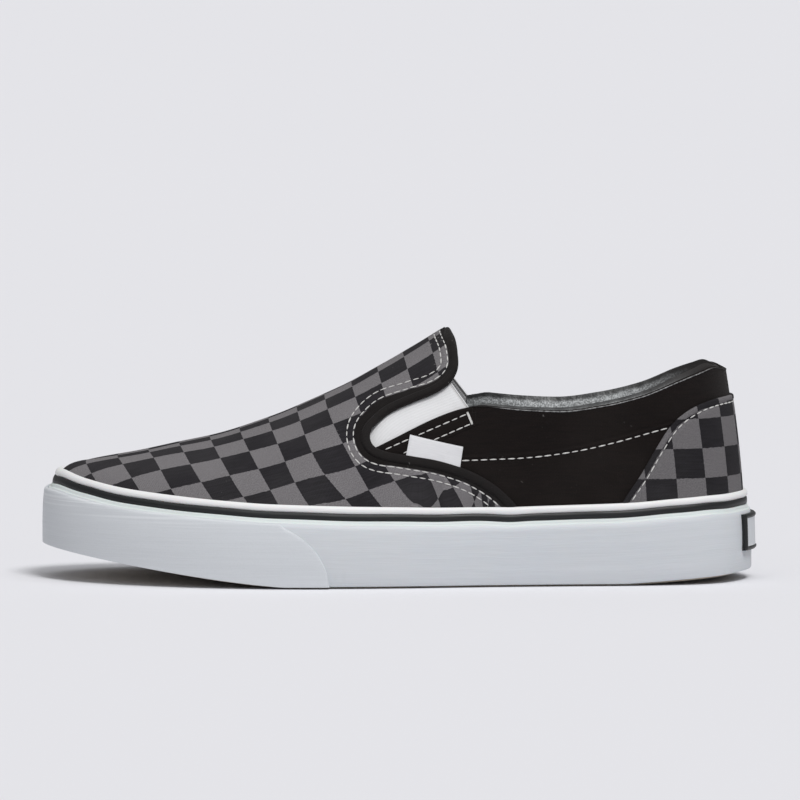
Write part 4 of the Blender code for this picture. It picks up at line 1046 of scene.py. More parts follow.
def ribbed_elastic():
    """White elastic webbing: close ribs with painted shade between them, and a turned hem along the top with
    a painted shade line in its groove.
    """
    colours = bpy.context.scene.sneaker_colours
    made, b, shader = surface("ribbed_elastic", colours.elastic, 0.75, specular_ior_level=0.3,
                              sheen_weight=0.1)
    x, y, _ = b.parts(b.layer("cloth"))
    rib = b.calc("ABSOLUTE", b.calc("SINE", b.calc("MULTIPLY", x, 900 * math.pi)))
    pick = b.calc("ABSOLUTE", b.calc("SINE", b.calc("MULTIPLY", y, 1500 * math.pi)))
    stretch = b.noise(b.layer("cloth"), 90.0, 3.0)
    # Painted shade: the elastic is darker in the valleys between the ribs.
    rib_shade = rgb([0.93 * c for c in colours.elastic])
    shade = b.mixed(b.calc("MULTIPLY", rib, 0.8), rib_shade, rgb(colours.elastic))
    hem = b.calc("SUBTRACT", b.range(y, 0.0016, 0.0012), b.range(y, 0.0008, 0.0003))
    # Painted shade: a darker line in the hem's groove.
    shade = b.mixed(b.calc("MULTIPLY", hem, 0.35), shade, rgb((0.36, 0.33, 0.31)))
    shade = b.mixed(b.calc("MULTIPLY", b.range(stretch, 0.45, 0.75), 0.10), shade, rgb((0.42, 0.42, 0.44)))
    b.join(shader["Base Color"], shade)
    b.join(shader["Roughness"], b.range(stretch, 0.3, 0.7, 0.68, 0.85))
    tall = b.calc("ADD", b.calc("MULTIPLY", rib, 0.00005), b.calc("MULTIPLY", pick, 0.00003))
    tall = b.calc("MULTIPLY_ADD", hem, -0.0003, tall)
    bumped(b, shader, tall, 1.0)
    return made


def side_rubber():
    """White side tape: bright piping, a greener thin band, and a streaked main band."""
    colours = bpy.context.scene.sneaker_colours
    made, b, shader = surface("side_rubber", colours.rubber, 0.5, specular_ior_level=0.4, coat_weight=0.06,
                              coat_roughness=0.35, subsurface_weight=0.04, subsurface_scale=0.002)
    place = b.layer("cloth")
    along, drop, _ = b.parts(place)
    given = {"Tape place": place, "Place": b.solid(), "Streak": 1.0}
    height = b.group(Groups.rubber, given, "Height")
    streaks = b.group(Groups.rubber, given, "Streaks")
    clouds = b.group(Groups.rubber, given, "Clouds")
    main = b.tones(streaks, 0.35, 0.65, colours.rubber, 0.955, 1.0)
    main = b.mixed(b.calc("MULTIPLY", b.range(clouds, 0.45, 0.75), 0.12), main, rgb((0.52, 0.58, 0.68)))
    ledge = TAPE_PIPING + STRIPE_WIDTH + TAPE_LEDGE
    thin = b.tones(clouds, 0.3, 0.7, colours.thin_band, 1.0, 1.06)
    shade = b.mixed(b.range(drop, ledge - 0.0002, ledge + 0.0003), thin, main)
    piping = b.tones(streaks, 0.3, 0.7, colours.piping, 0.97, 1.0)
    shade = b.mixed(b.range(drop, 0.0031, 0.0029), shade, piping)
    # Darker blotches on the lower part of the main band.
    blotches = b.noise(b.stretched(b.solid(), 160.0, 160.0, 60.0), 1.0, 4.0)
    low = b.calc("MULTIPLY", b.range(blotches, 0.60, 0.72), b.range(drop, 0.018, 0.030))
    shade = b.mixed(b.calc("MULTIPLY", low, 0.10), shade, rgb((0.42, 0.41, 0.40)))
    b.join(shader["Base Color"], shade)
    b.join(shader["Roughness"], b.range(streaks, 0.3, 0.7, 0.42, 0.60))
    bumped(b, shader, height, 0.00012)
    return made


def toe_rubber():
    """The toe's second layer: fine drawn lines, with painted highlights along its top and at its ends."""
    colours = bpy.context.scene.sneaker_colours
    made, b, shader = surface("toe_rubber", colours.rubber, 0.52, specular_ior_level=0.4, coat_weight=0.05,
                              coat_roughness=0.4)
    along, drop, _ = b.parts(b.layer("seam"))
    x, _, _ = b.parts(b.solid())
    given = {"Tape place": b.layer("cloth"), "Place": b.solid(), "Streak": 1.2}
    height = b.group(Groups.rubber, given, "Height")
    streaks = b.group(Groups.rubber, given, "Streaks")
    clouds = b.group(Groups.rubber, given, "Clouds")
    grain = b.noise(b.solid(), 1500.0, 2.0)
    plain = rgb([1.02 * c for c in colours.rubber])
    shade = b.mixed(b.range(streaks, 0.35, 0.65), plain, rgb([0.975 * c for c in colours.rubber]))
    grained = rgb([0.88 * c for c in colours.rubber])
    shade = b.mixed(b.calc("MULTIPLY", b.range(grain, 0.5, 0.7), 0.22), shade, grained)
    shade = b.mixed(b.calc("MULTIPLY", b.range(clouds, 0.4, 0.75), 0.12), shade, rgb((0.55, 0.60, 0.66)))
    # Painted highlight: pale streaks along the top edge, stronger towards the toe's tip, and a pale line at
    # each end.
    highlight_streaks = b.noise(b.stretched(b.layer("cloth"), 9.0, 700.0), 1.0, 3.0)
    painted_highlight = b.calc("MULTIPLY", b.range(highlight_streaks, 0.45, 0.65), b.range(drop, 0.0085, 0.0010))
    painted_highlight = b.calc("MULTIPLY", painted_highlight, b.range(x, -0.055, -0.115, 0.1, 0.5))
    painted_highlight = b.calc("MAXIMUM", painted_highlight, b.range(along, 0.0007, 0.0004))
    shade = b.mixed(b.calc("MULTIPLY", painted_highlight, 0.75), shade, rgb((0.90, 0.92, 0.94)))
    b.join(shader["Base Color"], shade)
    b.join(shader["Roughness"], b.range(streaks, 0.3, 0.7, 0.44, 0.60))
    tall = b.calc("MULTIPLY_ADD", height, 0.00006, b.calc("MULTIPLY", grain, 0.00004))
    bumped(b, shader, tall, 1.0)
    return made


def line_rubber():
    """The thin dark line, satin."""
    colours = bpy.context.scene.sneaker_colours
    made, b, shader = surface("line_rubber", colours.line, 0.45, specular_ior_level=0.4)
    given = {"Tape place": b.layer("cloth"), "Place": b.solid(), "Streak": 1.0}
    height = b.group(Groups.rubber, given, "Height")
    streaks = b.group(Groups.rubber, given, "Streaks")
    b.join(shader["Base Color"], b.tones(streaks, 0.3, 0.7, colours.line, 0.8, 1.25))
    b.join(shader["Roughness"], b.range(streaks, 0.3, 0.7, 0.38, 0.55))
    bumped(b, shader, height, 0.00010)
    return made


def patch_rubber():
    """Heel patch: black raised frame round a bare white field."""
    colours = bpy.context.scene.sneaker_colours
    made, b, shader = surface("patch_rubber", colours.line, 0.45, specular_ior_level=0.4)
    x, y, _ = b.parts(b.layer("cloth"))
    field = b.calc("MULTIPLY", b.range(x, 0.00155, 0.00175), b.range(y, 0.00155, 0.00175))
    given = {"Tape place": b.layer("cloth"), "Place": b.solid(), "Streak": 0.4}
    height = b.group(Groups.rubber, given, "Height")
    clouds = b.group(Groups.rubber, given, "Clouds")
    white = b.tones(clouds, 0.3, 0.7, colours.rubber, 0.93, 1.0)
    b.join(shader["Base Color"], b.mixed(field, rgb(colours.line), white))
    b.join(shader["Roughness"], b.range(field, 0.0, 1.0, 0.42, 0.55))
    bumped(b, shader, height, 0.00012)
    return made


def soft_lining():
    """Smooth grey-black lining: a painted highlight in a band below its lip, and painted shade turning it
    black towards the heel.
    """
    colours = bpy.context.scene.sneaker_colours
    made, b, shader = surface("soft_lining", colours.lining, 0.40, specular_ior_level=0.6)
    x, _, _ = b.parts(b.solid())
    _, drop, _ = b.parts(b.layer("cloth"))
    grain = b.noise(b.solid(), 1500.0, 2.0)
    puff = b.noise(b.solid(), 260.0, 3.0)
    plain = b.tones(puff, 0.35, 0.65, colours.lining, 0.5, 1.1)
    # Painted highlight: a bright band a little below the lip, wavering with the padding.
    place = b.calc("ADD", drop, b.calc("MULTIPLY", b.calc("SUBTRACT", puff, 0.5), 0.0012))
    shown = b.calc("MULTIPLY", b.range(place, -0.0008, 0.0009), b.range(place, 0.0048, 0.0016))
    painted_highlight = b.tones(grain, 0.38, 0.64, colours.lining, 4.0, 11.0)
    shade = b.mixed(shown, plain, painted_highlight)
    # Painted shade: the lining goes to the canvas's black towards the heel.
    b.join(shader["Base Color"], b.mixed(b.range(x, 0.085, 0.122), shade, rgb(colours.canvas)))
    b.join(shader["Roughness"], b.range(x, 0.098, 0.124, 0.40, 0.85))
    tall = b.calc("MULTIPLY_ADD", puff, 0.0006, b.calc("MULTIPLY", grain, 0.00012))
    bumped(b, shader, tall, 1.0)
    return made


def collar_cord():
    """Thin cord along the collar: pale on the sides, black at its front ends and at the heel."""
    colours = bpy.context.scene.sneaker_colours
    made, b, shader = surface("collar_cord", colours.cord, 0.7, specular_ior_level=0.35)
    x, _, _ = b.parts(b.solid())
    beads = b.noise(b.solid(), 900.0, 2.0)
    pale = b.tones(beads, 0.35, 0.65, colours.cord, 0.45, 1.5)
    shown = b.calc("MULTIPLY", b.range(x, 0.036, 0.046), b.range(x, 0.131, 0.119))
    b.join(shader["Base Color"], b.mixed(shown, rgb(colours.canvas), pale))
    b.join(shader["Roughness"], b.range(beads, 0.3, 0.7, 0.6, 0.8))
    bumped(b, shader, b.calc("MULTIPLY", beads, 0.00008), 1.0)
    return made


def woven_tab():
    """Bare white woven tape for the side tab."""
    colours = bpy.context.scene.sneaker_colours
    made, b, shader = surface("woven_tab", colours.label, 0.7, specular_ior_level=0.3, sheen_weight=0.1)
    height = b.group(Groups.weave, {"Place": b.layer("cloth"), "Threads": 2600.0}, "Height")
    slub = b.group(Groups.weave, {"Place": b.layer("cloth"), "Threads": 2600.0}, "Slub")
    edge, _, _ = b.parts(b.layer("seam"))
    shade = b.tones(slub, 0.3, 0.7, colours.label, 0.93, 1.0)
    shade = b.mixed(b.calc("MULTIPLY", b.range(edge, 0.0011, 0.0002), 0.12), shade, rgb((0.5, 0.5, 0.53)))
    b.join(shader["Base Color"], shade)
    b.join(shader["Roughness"], b.range(slub, 0.3, 0.7, 0.62, 0.80))
    tall = b.calc("MULTIPLY", height, 0.00005)
    tall = b.calc("MULTIPLY_ADD", b.noise(b.solid(), 140.0, 2.0), 0.0005, tall)
    bumped(b, shader, tall, 1.0)
    return made


def footbed_cloth():
    """Dark cloth glued over the foam footbed."""
    colours = bpy.context.scene.sneaker_colours
    made, b, shader = surface("footbed_cloth", colours.footbed, 0.9,
                              specular_ior_level=0.2, sheen_weight=0.1)
    height = b.group(Groups.weave, {"Place": b.layer("cloth"), "Threads": 1500.0}, "Height")
    slub = b.group(Groups.weave, {"Place": b.layer("cloth"), "Threads": 1500.0}, "Slub")
    b.join(shader["Base Color"], b.tones(slub, 0.3, 0.7, colours.footbed, 0.75, 1.25))
    b.join(shader["Roughness"], b.range(slub, 0.3, 0.7, 0.82, 0.95))
    bumped(b, shader, b.calc("MULTIPLY", height, 0.0001), 1.0)
    return made


def tread_rubber():
    """Tan rubber of the sole: matt, with a fine moulded grain and pale dusty specks."""
    colours = bpy.context.scene.sneaker_colours
    made, b, shader = surface("tread_rubber", colours.tread, 0.7, specular_ior_level=0.35)
    grain = b.noise(b.solid(), 900.0, 3.0)
    clouds = b.noise(b.solid(), 35.0, 4.0)
    shade = b.tones(clouds, 0.35, 0.7, colours.tread, 0.88, 1.0)
    b.join(shader["Base Color"], b.mixed(b.calc("MULTIPLY", b.range(grain, 0.5, 0.7), 0.12), shade,
                                         rgb((0.62, 0.58, 0.52))))
    b.join(shader["Roughness"], b.range(grain, 0.3, 0.7, 0.62, 0.82))
    bumped(b, shader, b.calc("MULTIPLY", grain, 0.00010), 1.0)
    return made


def white_thread():
    """Twisted white sewing thread."""
    colours = bpy.context.scene.sneaker_colours
    made, b, shader = surface("white_thread", colours.thread, 0.6, specular_ior_level=0.4, sheen_weight=0.2)
    twist = b.noise(b.solid(), 2600.0, 2.0)
    b.join(shader["Base Color"], b.tones(twist, 0.35, 0.65, colours.thread, 0.82, 1.0))
    b.join(shader["Roughness"], b.range(twist, 0.3, 0.7, 0.52, 0.72))
    bumped(b, shader, b.calc("MULTIPLY", twist, 0.00008), 1.0)
    return made


def studio_floor():
    """Plain pale floor, matt."""
    colours = bpy.context.scene.sneaker_colours
    made, b, shader = surface("studio_floor", colours.floor, 1.0, specular_ior_level=0.0)
    clouds = b.noise(b.solid(), 0.7, 2.0)
    b.join(shader["Base Color"], b.tones(clouds, 0.2, 0.8, colours.floor, 0.995, 1.0))
    return made


class Groups:
    """Shader groups that several materials use, built once."""


class Finishes:
    """The materials, made once before the pieces."""


LAST = Last(Outline())
EDGE = VampEdge()
RIDGE = Ridge()


def frame_shift():
    """From the last's own place to the frame's, read off the footbed, which follows the last."""
    angles = np.arange(60) * math.pi / 30
    rim = LAST.edge(angles, CANVAS_WALL + INSOLE_CLEAR)
    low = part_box("insole")[0]
    return np.array([low[0] - rim[:, 0].min(), low[1] - rim[:, 1].min(), 0.0])


SHIFT = frame_shift()


# Cloth pieces


def wall_grid(angles, tops, lows, share):
    """Ring angles and rises of a grid of columns between two heights."""
    rises = lows[:, None] + (tops - lows)[:, None] * share
    return np.repeat(angles[:, None], len(share), axis=1), rises


def under_tape(angles, drop=0.003):
    """Rises a little below the side tape's top edge."""
    return np.array([LAST.rise_below(a, LAST.tape_top(a), drop)[0] for a in angles])


def make_vamp():
    """The checked vamp, from under the side tape up to the binding."""
    half = np.linspace(0, 2 * math.asin(math.sqrt(0.70)), 190)
    angles = np.concatenate([-half[:0:-1], half])
    spread, rises = wall_grid(angles, np.ones_like(angles), under_tape(angles), np.linspace(0, 1, 72))
    form = LAST.at(spread, rises)
    edge, length = line_distance(form[..., [0, 2]], EDGE.path)
    soft = creased(form) * depth_scale()
    cloth = RIDGE.checks(LAST, spread, rises)
    seam = np.stack([edge - row_inset(length + EDGE.length[0]), length], -1)
    sheet = Pattern()
    outer = sheet.add(LAST.at(spread, rises, VAMP_STEP + soft), cloth, seam)
    inner = sheet.add(LAST.at(spread, rises, soft - CANVAS_WALL), 0.5 + 0.01 * cloth, seam * 0 + 0.05)
    middle = (edge[:-1, :-1] + edge[1:, 1:] + edge[:-1, 1:] + edge[1:, :-1]) / 4
    keep = middle > BINDING_WIDTH / 2
    quads = list(sheet.sheet(outer, keep))
    sheet.sheet(inner, keep)
    centre = len(half) - 1
    for k in range(centre):
        if min(edge[centre + k, -1], edge[centre + k + 1, -1]) < BINDING_WIDTH / 2:
            break
        rows = [centre - k, centre + k, centre + k + 1, centre - k - 1]
        quads.append(outer[rows, -1])
        sheet.faces.append(tuple(outer[rows, -1]))
        sheet.faces.append(tuple(inner[rows, -1]))
    sheet.rim(quads, int(inner[0, 0] - outer[0, 0]))
    return finished("vamp_cloth", sheet, Finishes.checked, "checked_canvas", "upper")


def quarter_level():
    """The quarter's upper edge: its front edge up from the slot, then the collar."""
    front = QUARTER_FRONT[0], QUARTER_FRONT[1]
    slope = (front[1][1] - front[0][1]) / (front[1][0] - front[0][0])
    ahead = (0.42, front[0][1] - (front[0][0] - 0.42) * slope)
    near = (front[1][0] - 0.006, front[1][1] - 0.006 * slope)
    return side_line((ahead, front[0], near, *COLLAR_LINE[1:]))


def front_distance(places):
    """How far places lie inside the quarter's front edge, seen from the side."""
    start, end = side_points(QUARTER_FRONT)
    run = (end - start) / np.linalg.norm(end - start)
    away = places - start
    beyond = away @ run > np.linalg.norm(end - start) + 0.001
    return np.where(beyond, 0.05, away @ np.array([run[1], -run[0]]))


def seam_path(rows, count=300):
    return smooth_path(side_points(rows), count)


def make_quarters():
    """The black canvas behind the gores, round the heel in one piece."""
    level = quarter_level()
    start = float(LAST.on_side([(0.452 * SOLE_LENGTH, float(level(0.452)))], -1)[0][0])
    angles = np.linspace(start, 2 * math.pi - start, 330)
    tops = np.array([LAST.rise_at(a, level) for a in angles])
    share = 1 - (1 - np.linspace(0, 1, 48)) ** 1.5
    spread, rises = wall_grid(angles, tops, under_tape(angles), share)
    form = LAST.at(spread, rises)
    side = form[..., [0, 2]]
    left = LAST.climb(spread, np.repeat(tops[:, None], len(share), 1)) - LAST.climb(spread, rises)
    soft = creased(form) * depth_scale()
    seam, _ = line_distance(side, seam_path(QUARTER_SEAM)[::-1])
    seam = np.stack([seam, front_distance(side)], -1)
    cloth = np.stack([round_length(spread), form[..., 2]], -1)
    rounded = -0.0007 * (1 - ramp(left, -0.0006, 0.0012))
    sheet = Pattern()
    inner = sheet.add(LAST.at(spread, rises, soft - CANVAS_WALL + 0.0001 - rounded), cloth, seam)
    outer = sheet.add(LAST.at(spread, rises, soft + rounded), cloth, seam)
    sheet.wall(inner, outer)
    return finished("quarters", sheet, Finishes.black, "canvas", "upper")


def depth_scale():
    return bpy.context.scene.sneaker_sizes.crease_depth


def round_length(angles):
    """Length round the foot, from the heel's back, at about half height."""
    ring = np.linspace(0, 2 * math.pi, 721)
    places = LAST.at(ring, np.full(len(ring), 0.62))
    step = np.linalg.norm(np.diff(places[:, :2], axis=0), axis=1)
    length = np.concatenate([[0], np.cumsum(step)])
    return np.interp(np.mod(angles, 2 * math.pi), ring, length - length[360])


def make_inner_cloth():
    """The cloth inside the shoe, from the sole up past the side tape's top edge."""
    angles = np.arange(240) * 2 * math.pi / 240
    tops = np.array([LAST.rise_below(a, LAST.tape_top(a), -0.003)[0] for a in angles])
    spread, rises = wall_grid(angles, tops, np.zeros(240), np.linspace(0, 1, 9))
    sides = [LAST.at(spread, rises, -CANVAS_WALL - deep) for deep in (0.0001, 0.0006)]
    cloth = np.stack([round_length(spread), sides[0][..., 2]], -1)
    ring = Pattern()
    ring.tube(
        np.concatenate([sides[0], sides[1][:, ::-1]], axis=1), closed=True,
        cloth=np.concatenate([cloth, cloth[:, ::-1]], axis=1), seam=np.full((240, 18, 2), 0.05),
    )
    return finished("inner_cloth", ring, Finishes.black, "canvas", "upper")


def make_gore(name, side):
    """An elastic panel, tucked under the binding and the quarter."""
    under = BINDING_WIDTH + GORE_OVERLAP
    top, slot = side_points(GORE_TOP), side_points(QUARTER_FRONT)
    run = (top[0] - top[1]) / np.linalg.norm(top[0] - top[1])
    along = (slot[1] - slot[0]) / np.linalg.norm(slot[1] - slot[0])
    below = np.array([along[1], -along[0]]) * GORE_OVERLAP
    up = np.linspace(0, 1, 30)[:, None]
    left = EDGE.at(-GORE_RISE * TAB_HEIGHT * up[:, 0], under)
    left = left * (1 - up**4) + (top[0] + run * 0.007) * up**4
    low, high = slot[0] + below - along * 0.002, top[1] - run * GORE_OVERLAP
    right = low + (high - low) * up
    across = np.linspace(0, 1, 26)
    grid = left[:, None] + (right - left)[:, None] * across[:, None]
    angles, rises = LAST.on_side(grid.reshape(-1, 2), side)
    angles, rises = angles.reshape(grid.shape[:2]), rises.reshape(grid.shape[:2])
    form = LAST.at(angles, rises)
    tall = float(np.linalg.norm(np.diff(left, axis=0), axis=1).sum())
    wide = np.linalg.norm(right - left, axis=1)[:, None]
    cloth = np.stack([across[None] * wide, (1 - up) * tall * np.ones_like(grid[..., 0])], -1)
    hem = 0.0003 * (1 - ramp(cloth[..., 1], 0.0030, 0.0042))
    swell = 0.0005 * np.sin(math.pi * across)[None] * np.sin(math.pi * np.clip(up, 0, 1))
    outer = -(CANVAS_WALL + GAP) + creased(form) * depth_scale() + hem + swell
    sheet = Pattern()
    sheet.wall(
        sheet.add(LAST.at(angles, rises, outer - GORE_THICKNESS), cloth),
        sheet.add(LAST.at(angles, rises, outer), cloth),
    )
    return finished(name.replace("gore", "elastic"), sheet, Finishes.elastic, "elastic", name)


def binding_line(count):
    """Places along the middle of the vamp's rolled edge, lateral side, from the ridge down."""
    ridge = side_line([row[:2] for row in TOP_LINE])
    lengths = np.linspace(EDGE.length[0], EDGE.length[-1], 900)
    places = EDGE.at(lengths, BINDING_WIDTH / 2)
    first = int(np.argmax(places[:, 1] < ridge(places[:, 0] / SOLE_LENGTH)))
    angles, rises = LAST.on_side(places[first:], -1)
    rises[0] = 1.0
    foot = [LAST.rise_below(a, LAST.tape_top(a), 0.0005)[0] < r for a, r in zip(angles[::4], rises[::4])]
    stop = len(angles) if all(foot) else 4 * int(np.argmin(foot))
    pick = np.linspace(0, stop - 1, count)
    index = np.arange(len(angles))
    return (np.interp(pick, index, values) for values in (angles, rises, lengths[first:]))


def make_binding():
    """The rolled dark edge of the vamp, over the throat from side to side."""
    angles, rises, lengths = binding_line(260)
    raised = ramp(lengths, -0.0085, -0.0015)
    floor = -CANVAS_WALL + raised * (CANVAS_WALL + BINDING_LIFT * 0.2)
    ceiling = VAMP_STEP + 0.0004 + raised * 0.0005
    both = lambda row: np.concatenate([row[::-1], row[1:]])
    angles = np.concatenate([2 * math.pi - angles[::-1], angles[1:]])
    rises, floor, ceiling = both(rises), both(floor), both(ceiling)
    form = LAST.at(angles, rises)
    soft = creased(form) * depth_scale()
    centres = LAST.at(angles, rises, (floor + ceiling) / 2 + soft)
    for _ in range(6):
        centres[1:-1] = (centres[:-2] + 2 * centres[1:-1] + centres[2:]) / 4
    outward = LAST.normal(angles, rises)
    run = np.gradient(centres, axis=0)
    run /= np.linalg.norm(run, axis=1, keepdims=True)
    across = np.cross(outward, run)
    across /= np.linalg.norm(across, axis=1, keepdims=True)
    outward = np.cross(run, across)
    turns = np.arange(20) * 2 * math.pi / 20
    wide, tall = np.cos(turns), np.sin(turns)
    wide = np.sign(wide) * np.abs(wide) ** 0.75
    tall = np.sign(tall) * np.abs(tall) ** 0.85
    sections = (
        centres[:, None]
        + across[:, None] * (wide * BINDING_WIDTH / 2)[None, :, None]
        + outward[:, None] * (tall[None] * ((ceiling - floor) / 2)[:, None])[..., None]
    )
    length = np.concatenate([[0], np.cumsum(np.linalg.norm(np.diff(centres, axis=0), axis=1))])
    cloth = np.stack(np.broadcast_arrays(length[:, None], turns[None] * 0.0016), -1)
    roll = Pattern()
    roll.tube(sections, closed=False, cloth=cloth)
    return finished("rolled_edge", roll, Finishes.binding, "binding", "vamp_binding")


def make_counter():
    """The checked overlay round the heel, with a folded edge."""
    line = smooth_path(side_points(COUNTER_EDGE), 400)
    angles, rises = LAST.on_side(line[line[:, 0] < 0.93 * SOLE_LENGTH], -1)
    tall = [r > LAST.tape_top(a) for a, r in zip(angles, rises)]
    first = int(np.argmax(tall))
    angles, rises = angles[first::3], rises[first::3]
    level = side_line(COUNTER_EDGE)
    ring = np.linspace(angles[-1] + 0.01, math.pi, 46)
    angles = np.concatenate([angles, ring])
    rises = np.concatenate([rises, [LAST.rise_at(a, level) for a in ring]])
    angles = np.concatenate([angles, 2 * math.pi - angles[-2::-1]])
    tops = np.concatenate([rises, rises[-2::-1]])
    lows = np.minimum(under_tape(angles, 0.002), tops - 0.004)
    share = 1 - (1 - np.linspace(0, 1, 40)) ** 1.4
    spread, rises = wall_grid(angles, tops, lows, share)
    form = LAST.at(spread, rises)
    edge, length = line_distance(form[..., [0, 2]], line)
    fold = 0.00028 * (1 - ramp(edge, 0.0018, 0.0026)) - 0.0006 * (1 - ramp(edge, -0.0003, 0.0006))
    dip = -0.0002 * np.exp(-(((edge - COUNTER_ROW) / 0.0007) ** 2))
    outer = GAP + COUNTER_THICKNESS + fold + dip + creased(form) * depth_scale()
    cloth = np.stack([
        HEEL_CHECK_ROUND[0] + HEEL_CHECK_ROUND[1] * round_length(spread),
        HEEL_CHECK_HEIGHT[0] + HEEL_CHECK_HEIGHT[1] * form[..., 2],
    ], -1)
    folded = (edge < 0.0022)[..., None]
    cloth = np.where(folded, cloth + (1.0, 0.0), cloth)
    seam = np.stack([edge, length], -1)
    sheet = Pattern()
    sheet.wall(
        sheet.add(LAST.at(spread, rises, creased(form) * depth_scale()), cloth, seam),
        sheet.add(LAST.at(spread, rises, outer), cloth, seam),
    )
    return finished("heel_overlay", sheet, Finishes.heel, "checked_canvas", "heel_counter")


def collar_stations(start, count):
    """Ring angles and rises along the collar line, from one side round the heel to the other."""
    level = side_line(COLLAR_LINE)
    first = float(LAST.on_side([(start * SOLE_LENGTH, float(level(start)))], -1)[0][0])
    angles = np.linspace(first, 2 * math.pi - first, count)
    return angles, np.array([LAST.rise_at(a, level) for a in angles])


def make_lining():
    """The padded lining inside the collar."""
    outer = CANVAS_WALL + GAP
    pad = COLLAR_PAD + outer
    profile = (
        (-COLLAR_LIP, outer + 0.0006), (0.004, outer), (0.012, outer), (COLLAR_DEPTH - 0.004, outer),
        (COLLAR_DEPTH, outer + 0.0010), (COLLAR_DEPTH - 0.005, pad - 0.0034), (0.017, pad - 0.0008),
        (0.011, pad - 0.0001), (0.006, pad), (0.0022, pad - 0.0010), (-COLLAR_LIP * 0.8, pad - 0.0030),
        (-COLLAR_LIP - 0.0009, outer + 0.0024),
    )
    profile = closed_spline(profile, 34)
    angles, rises = collar_stations(0.5975, 210)
    from_end = np.minimum(np.arange(210), 209 - np.arange(210)) / 18
    thin = 0.42 + 0.58 * ramp(from_end, 0, 1)
    clear = LINING_CLEAR * (1 - ramp(from_end, 0, 1))
    sections, cloth = [], []
    for i, (angle, rise) in enumerate(zip(angles, rises)):
        depth = outer + clear[i] + (profile[:, 1] - outer) * thin[i]
        puff = 0.0004 * math.sin(i * 0.23) * math.sin(i * 0.071 + 1.0)
        depth = depth + puff * ramp(profile[:, 1], outer + 0.002, pad)
        sunk = 0.0013 * (1 - ramp(from_end[i], 0, 0.3))
        places = [LAST.rise_below(angle, rise, drop + sunk)[0] for drop in profile[:, 0]]
        over = np.maximum(0.0, -profile[:, 0])
        section = LAST.at(np.full(34, angle), np.array(places), -depth)
        sections.append(section + np.array([0, 0, 1.0]) * (over * (np.array(places) >= 0.999))[:, None])
        cloth.append(np.stack([np.full(34, i * 0.001), profile[:, 0]], -1))
    ring = Pattern()
    ring.tube(np.array(sections), closed=False, cloth=np.array(cloth))
    made = finished("collar_padding", ring, Finishes.lining, "lining", "collar_lining")
    return made


def make_collar_piping():
    """The thin pale cord along the collar's edge."""
    angles, rises = collar_stations(0.604, 260)
    lower = np.array([LAST.rise_below(a, r, 0.0007)[0] for a, r in zip(angles, rises)])
    form = LAST.at(angles, lower)
    centres = LAST.at(angles, lower, 0.00005 + creased(form) * depth_scale())
    outward = LAST.normal(angles, lower)
    run = np.gradient(centres, axis=0)
    run /= np.linalg.norm(run, axis=1, keepdims=True)
    across = np.cross(outward, run)
    across /= np.linalg.norm(across, axis=1, keepdims=True)
    turns = np.arange(8) * math.pi / 4
    reach = bpy.context.scene.sneaker_sizes.piping_radius
    beat = 1 + 0.12 * np.sin(np.arange(260) * 2.4)[:, None, None]
    sections = centres[:, None] + beat * reach * (
        across[:, None] * np.cos(turns)[None, :, None] + outward[:, None] * np.sin(turns)[None, :, None]
    )
    cord = Pattern()
    cord.tube(sections, closed=False)
    return finished("collar_piping", cord, Finishes.piping, "lining")


def make_side_label():
    """The small woven tab under the binding, bare, its free edges a little lifted."""
    across, up = np.linspace(0, 1, 30)[:, None], np.linspace(0, 1, 14)
    corners = side_points(SIDE_LABEL)
    high = corners[0] + (corners[1] - corners[0]) * across
    below = EDGE.line(0.002, EDGE.length[-1], 400, 0.0004)
    ends = np.interp(corners[2:, 0], below[:, 0], np.arange(400))
    index = ends[1] + (ends[0] - ends[1]) * across[:, 0]
    low = np.stack([np.interp(index, np.arange(400), below[:, k]) for k in range(2)], -1)
    grid = high[None] + (low - high)[None] * up[:, None, None]
    angles, rises = LAST.on_side(grid.reshape(-1, 2), -1)
    angles, rises = angles.reshape(14, 30), rises.reshape(14, 30)
    form = LAST.at(angles, rises)
    u = across[:, 0][None]
    free = (1 - up[:, None]) ** 1.5
    lift = 0.0004 * free * (0.4 + np.abs(2 * u - 1) ** 3)
    wide, tall = 0.0215, 0.0095
    edge = np.minimum(np.minimum(u, 1 - u) * wide, (up[:, None]) * tall)
    outer = GAP + SIDE_LABEL_THICKNESS + lift - 0.0003 * (1 - ramp(edge, 0, 0.0005))
    inner = np.full_like(outer, 0.0001) + lift * 0.8
    soft = creased(form) * depth_scale()
    cloth = np.stack([u * wide * np.ones_like(edge), up[:, None] * tall * np.ones_like(edge)], -1)
    seam = np.stack([edge, edge], -1)
    tab = Pattern()
    tab.wall(
        tab.add(LAST.at(angles, rises, inner + soft), cloth, seam),
        tab.add(LAST.at(angles, rises, outer + soft), cloth, seam),
    )
    return finished("side_tab", tab, Finishes.tab, "label", "side_label")


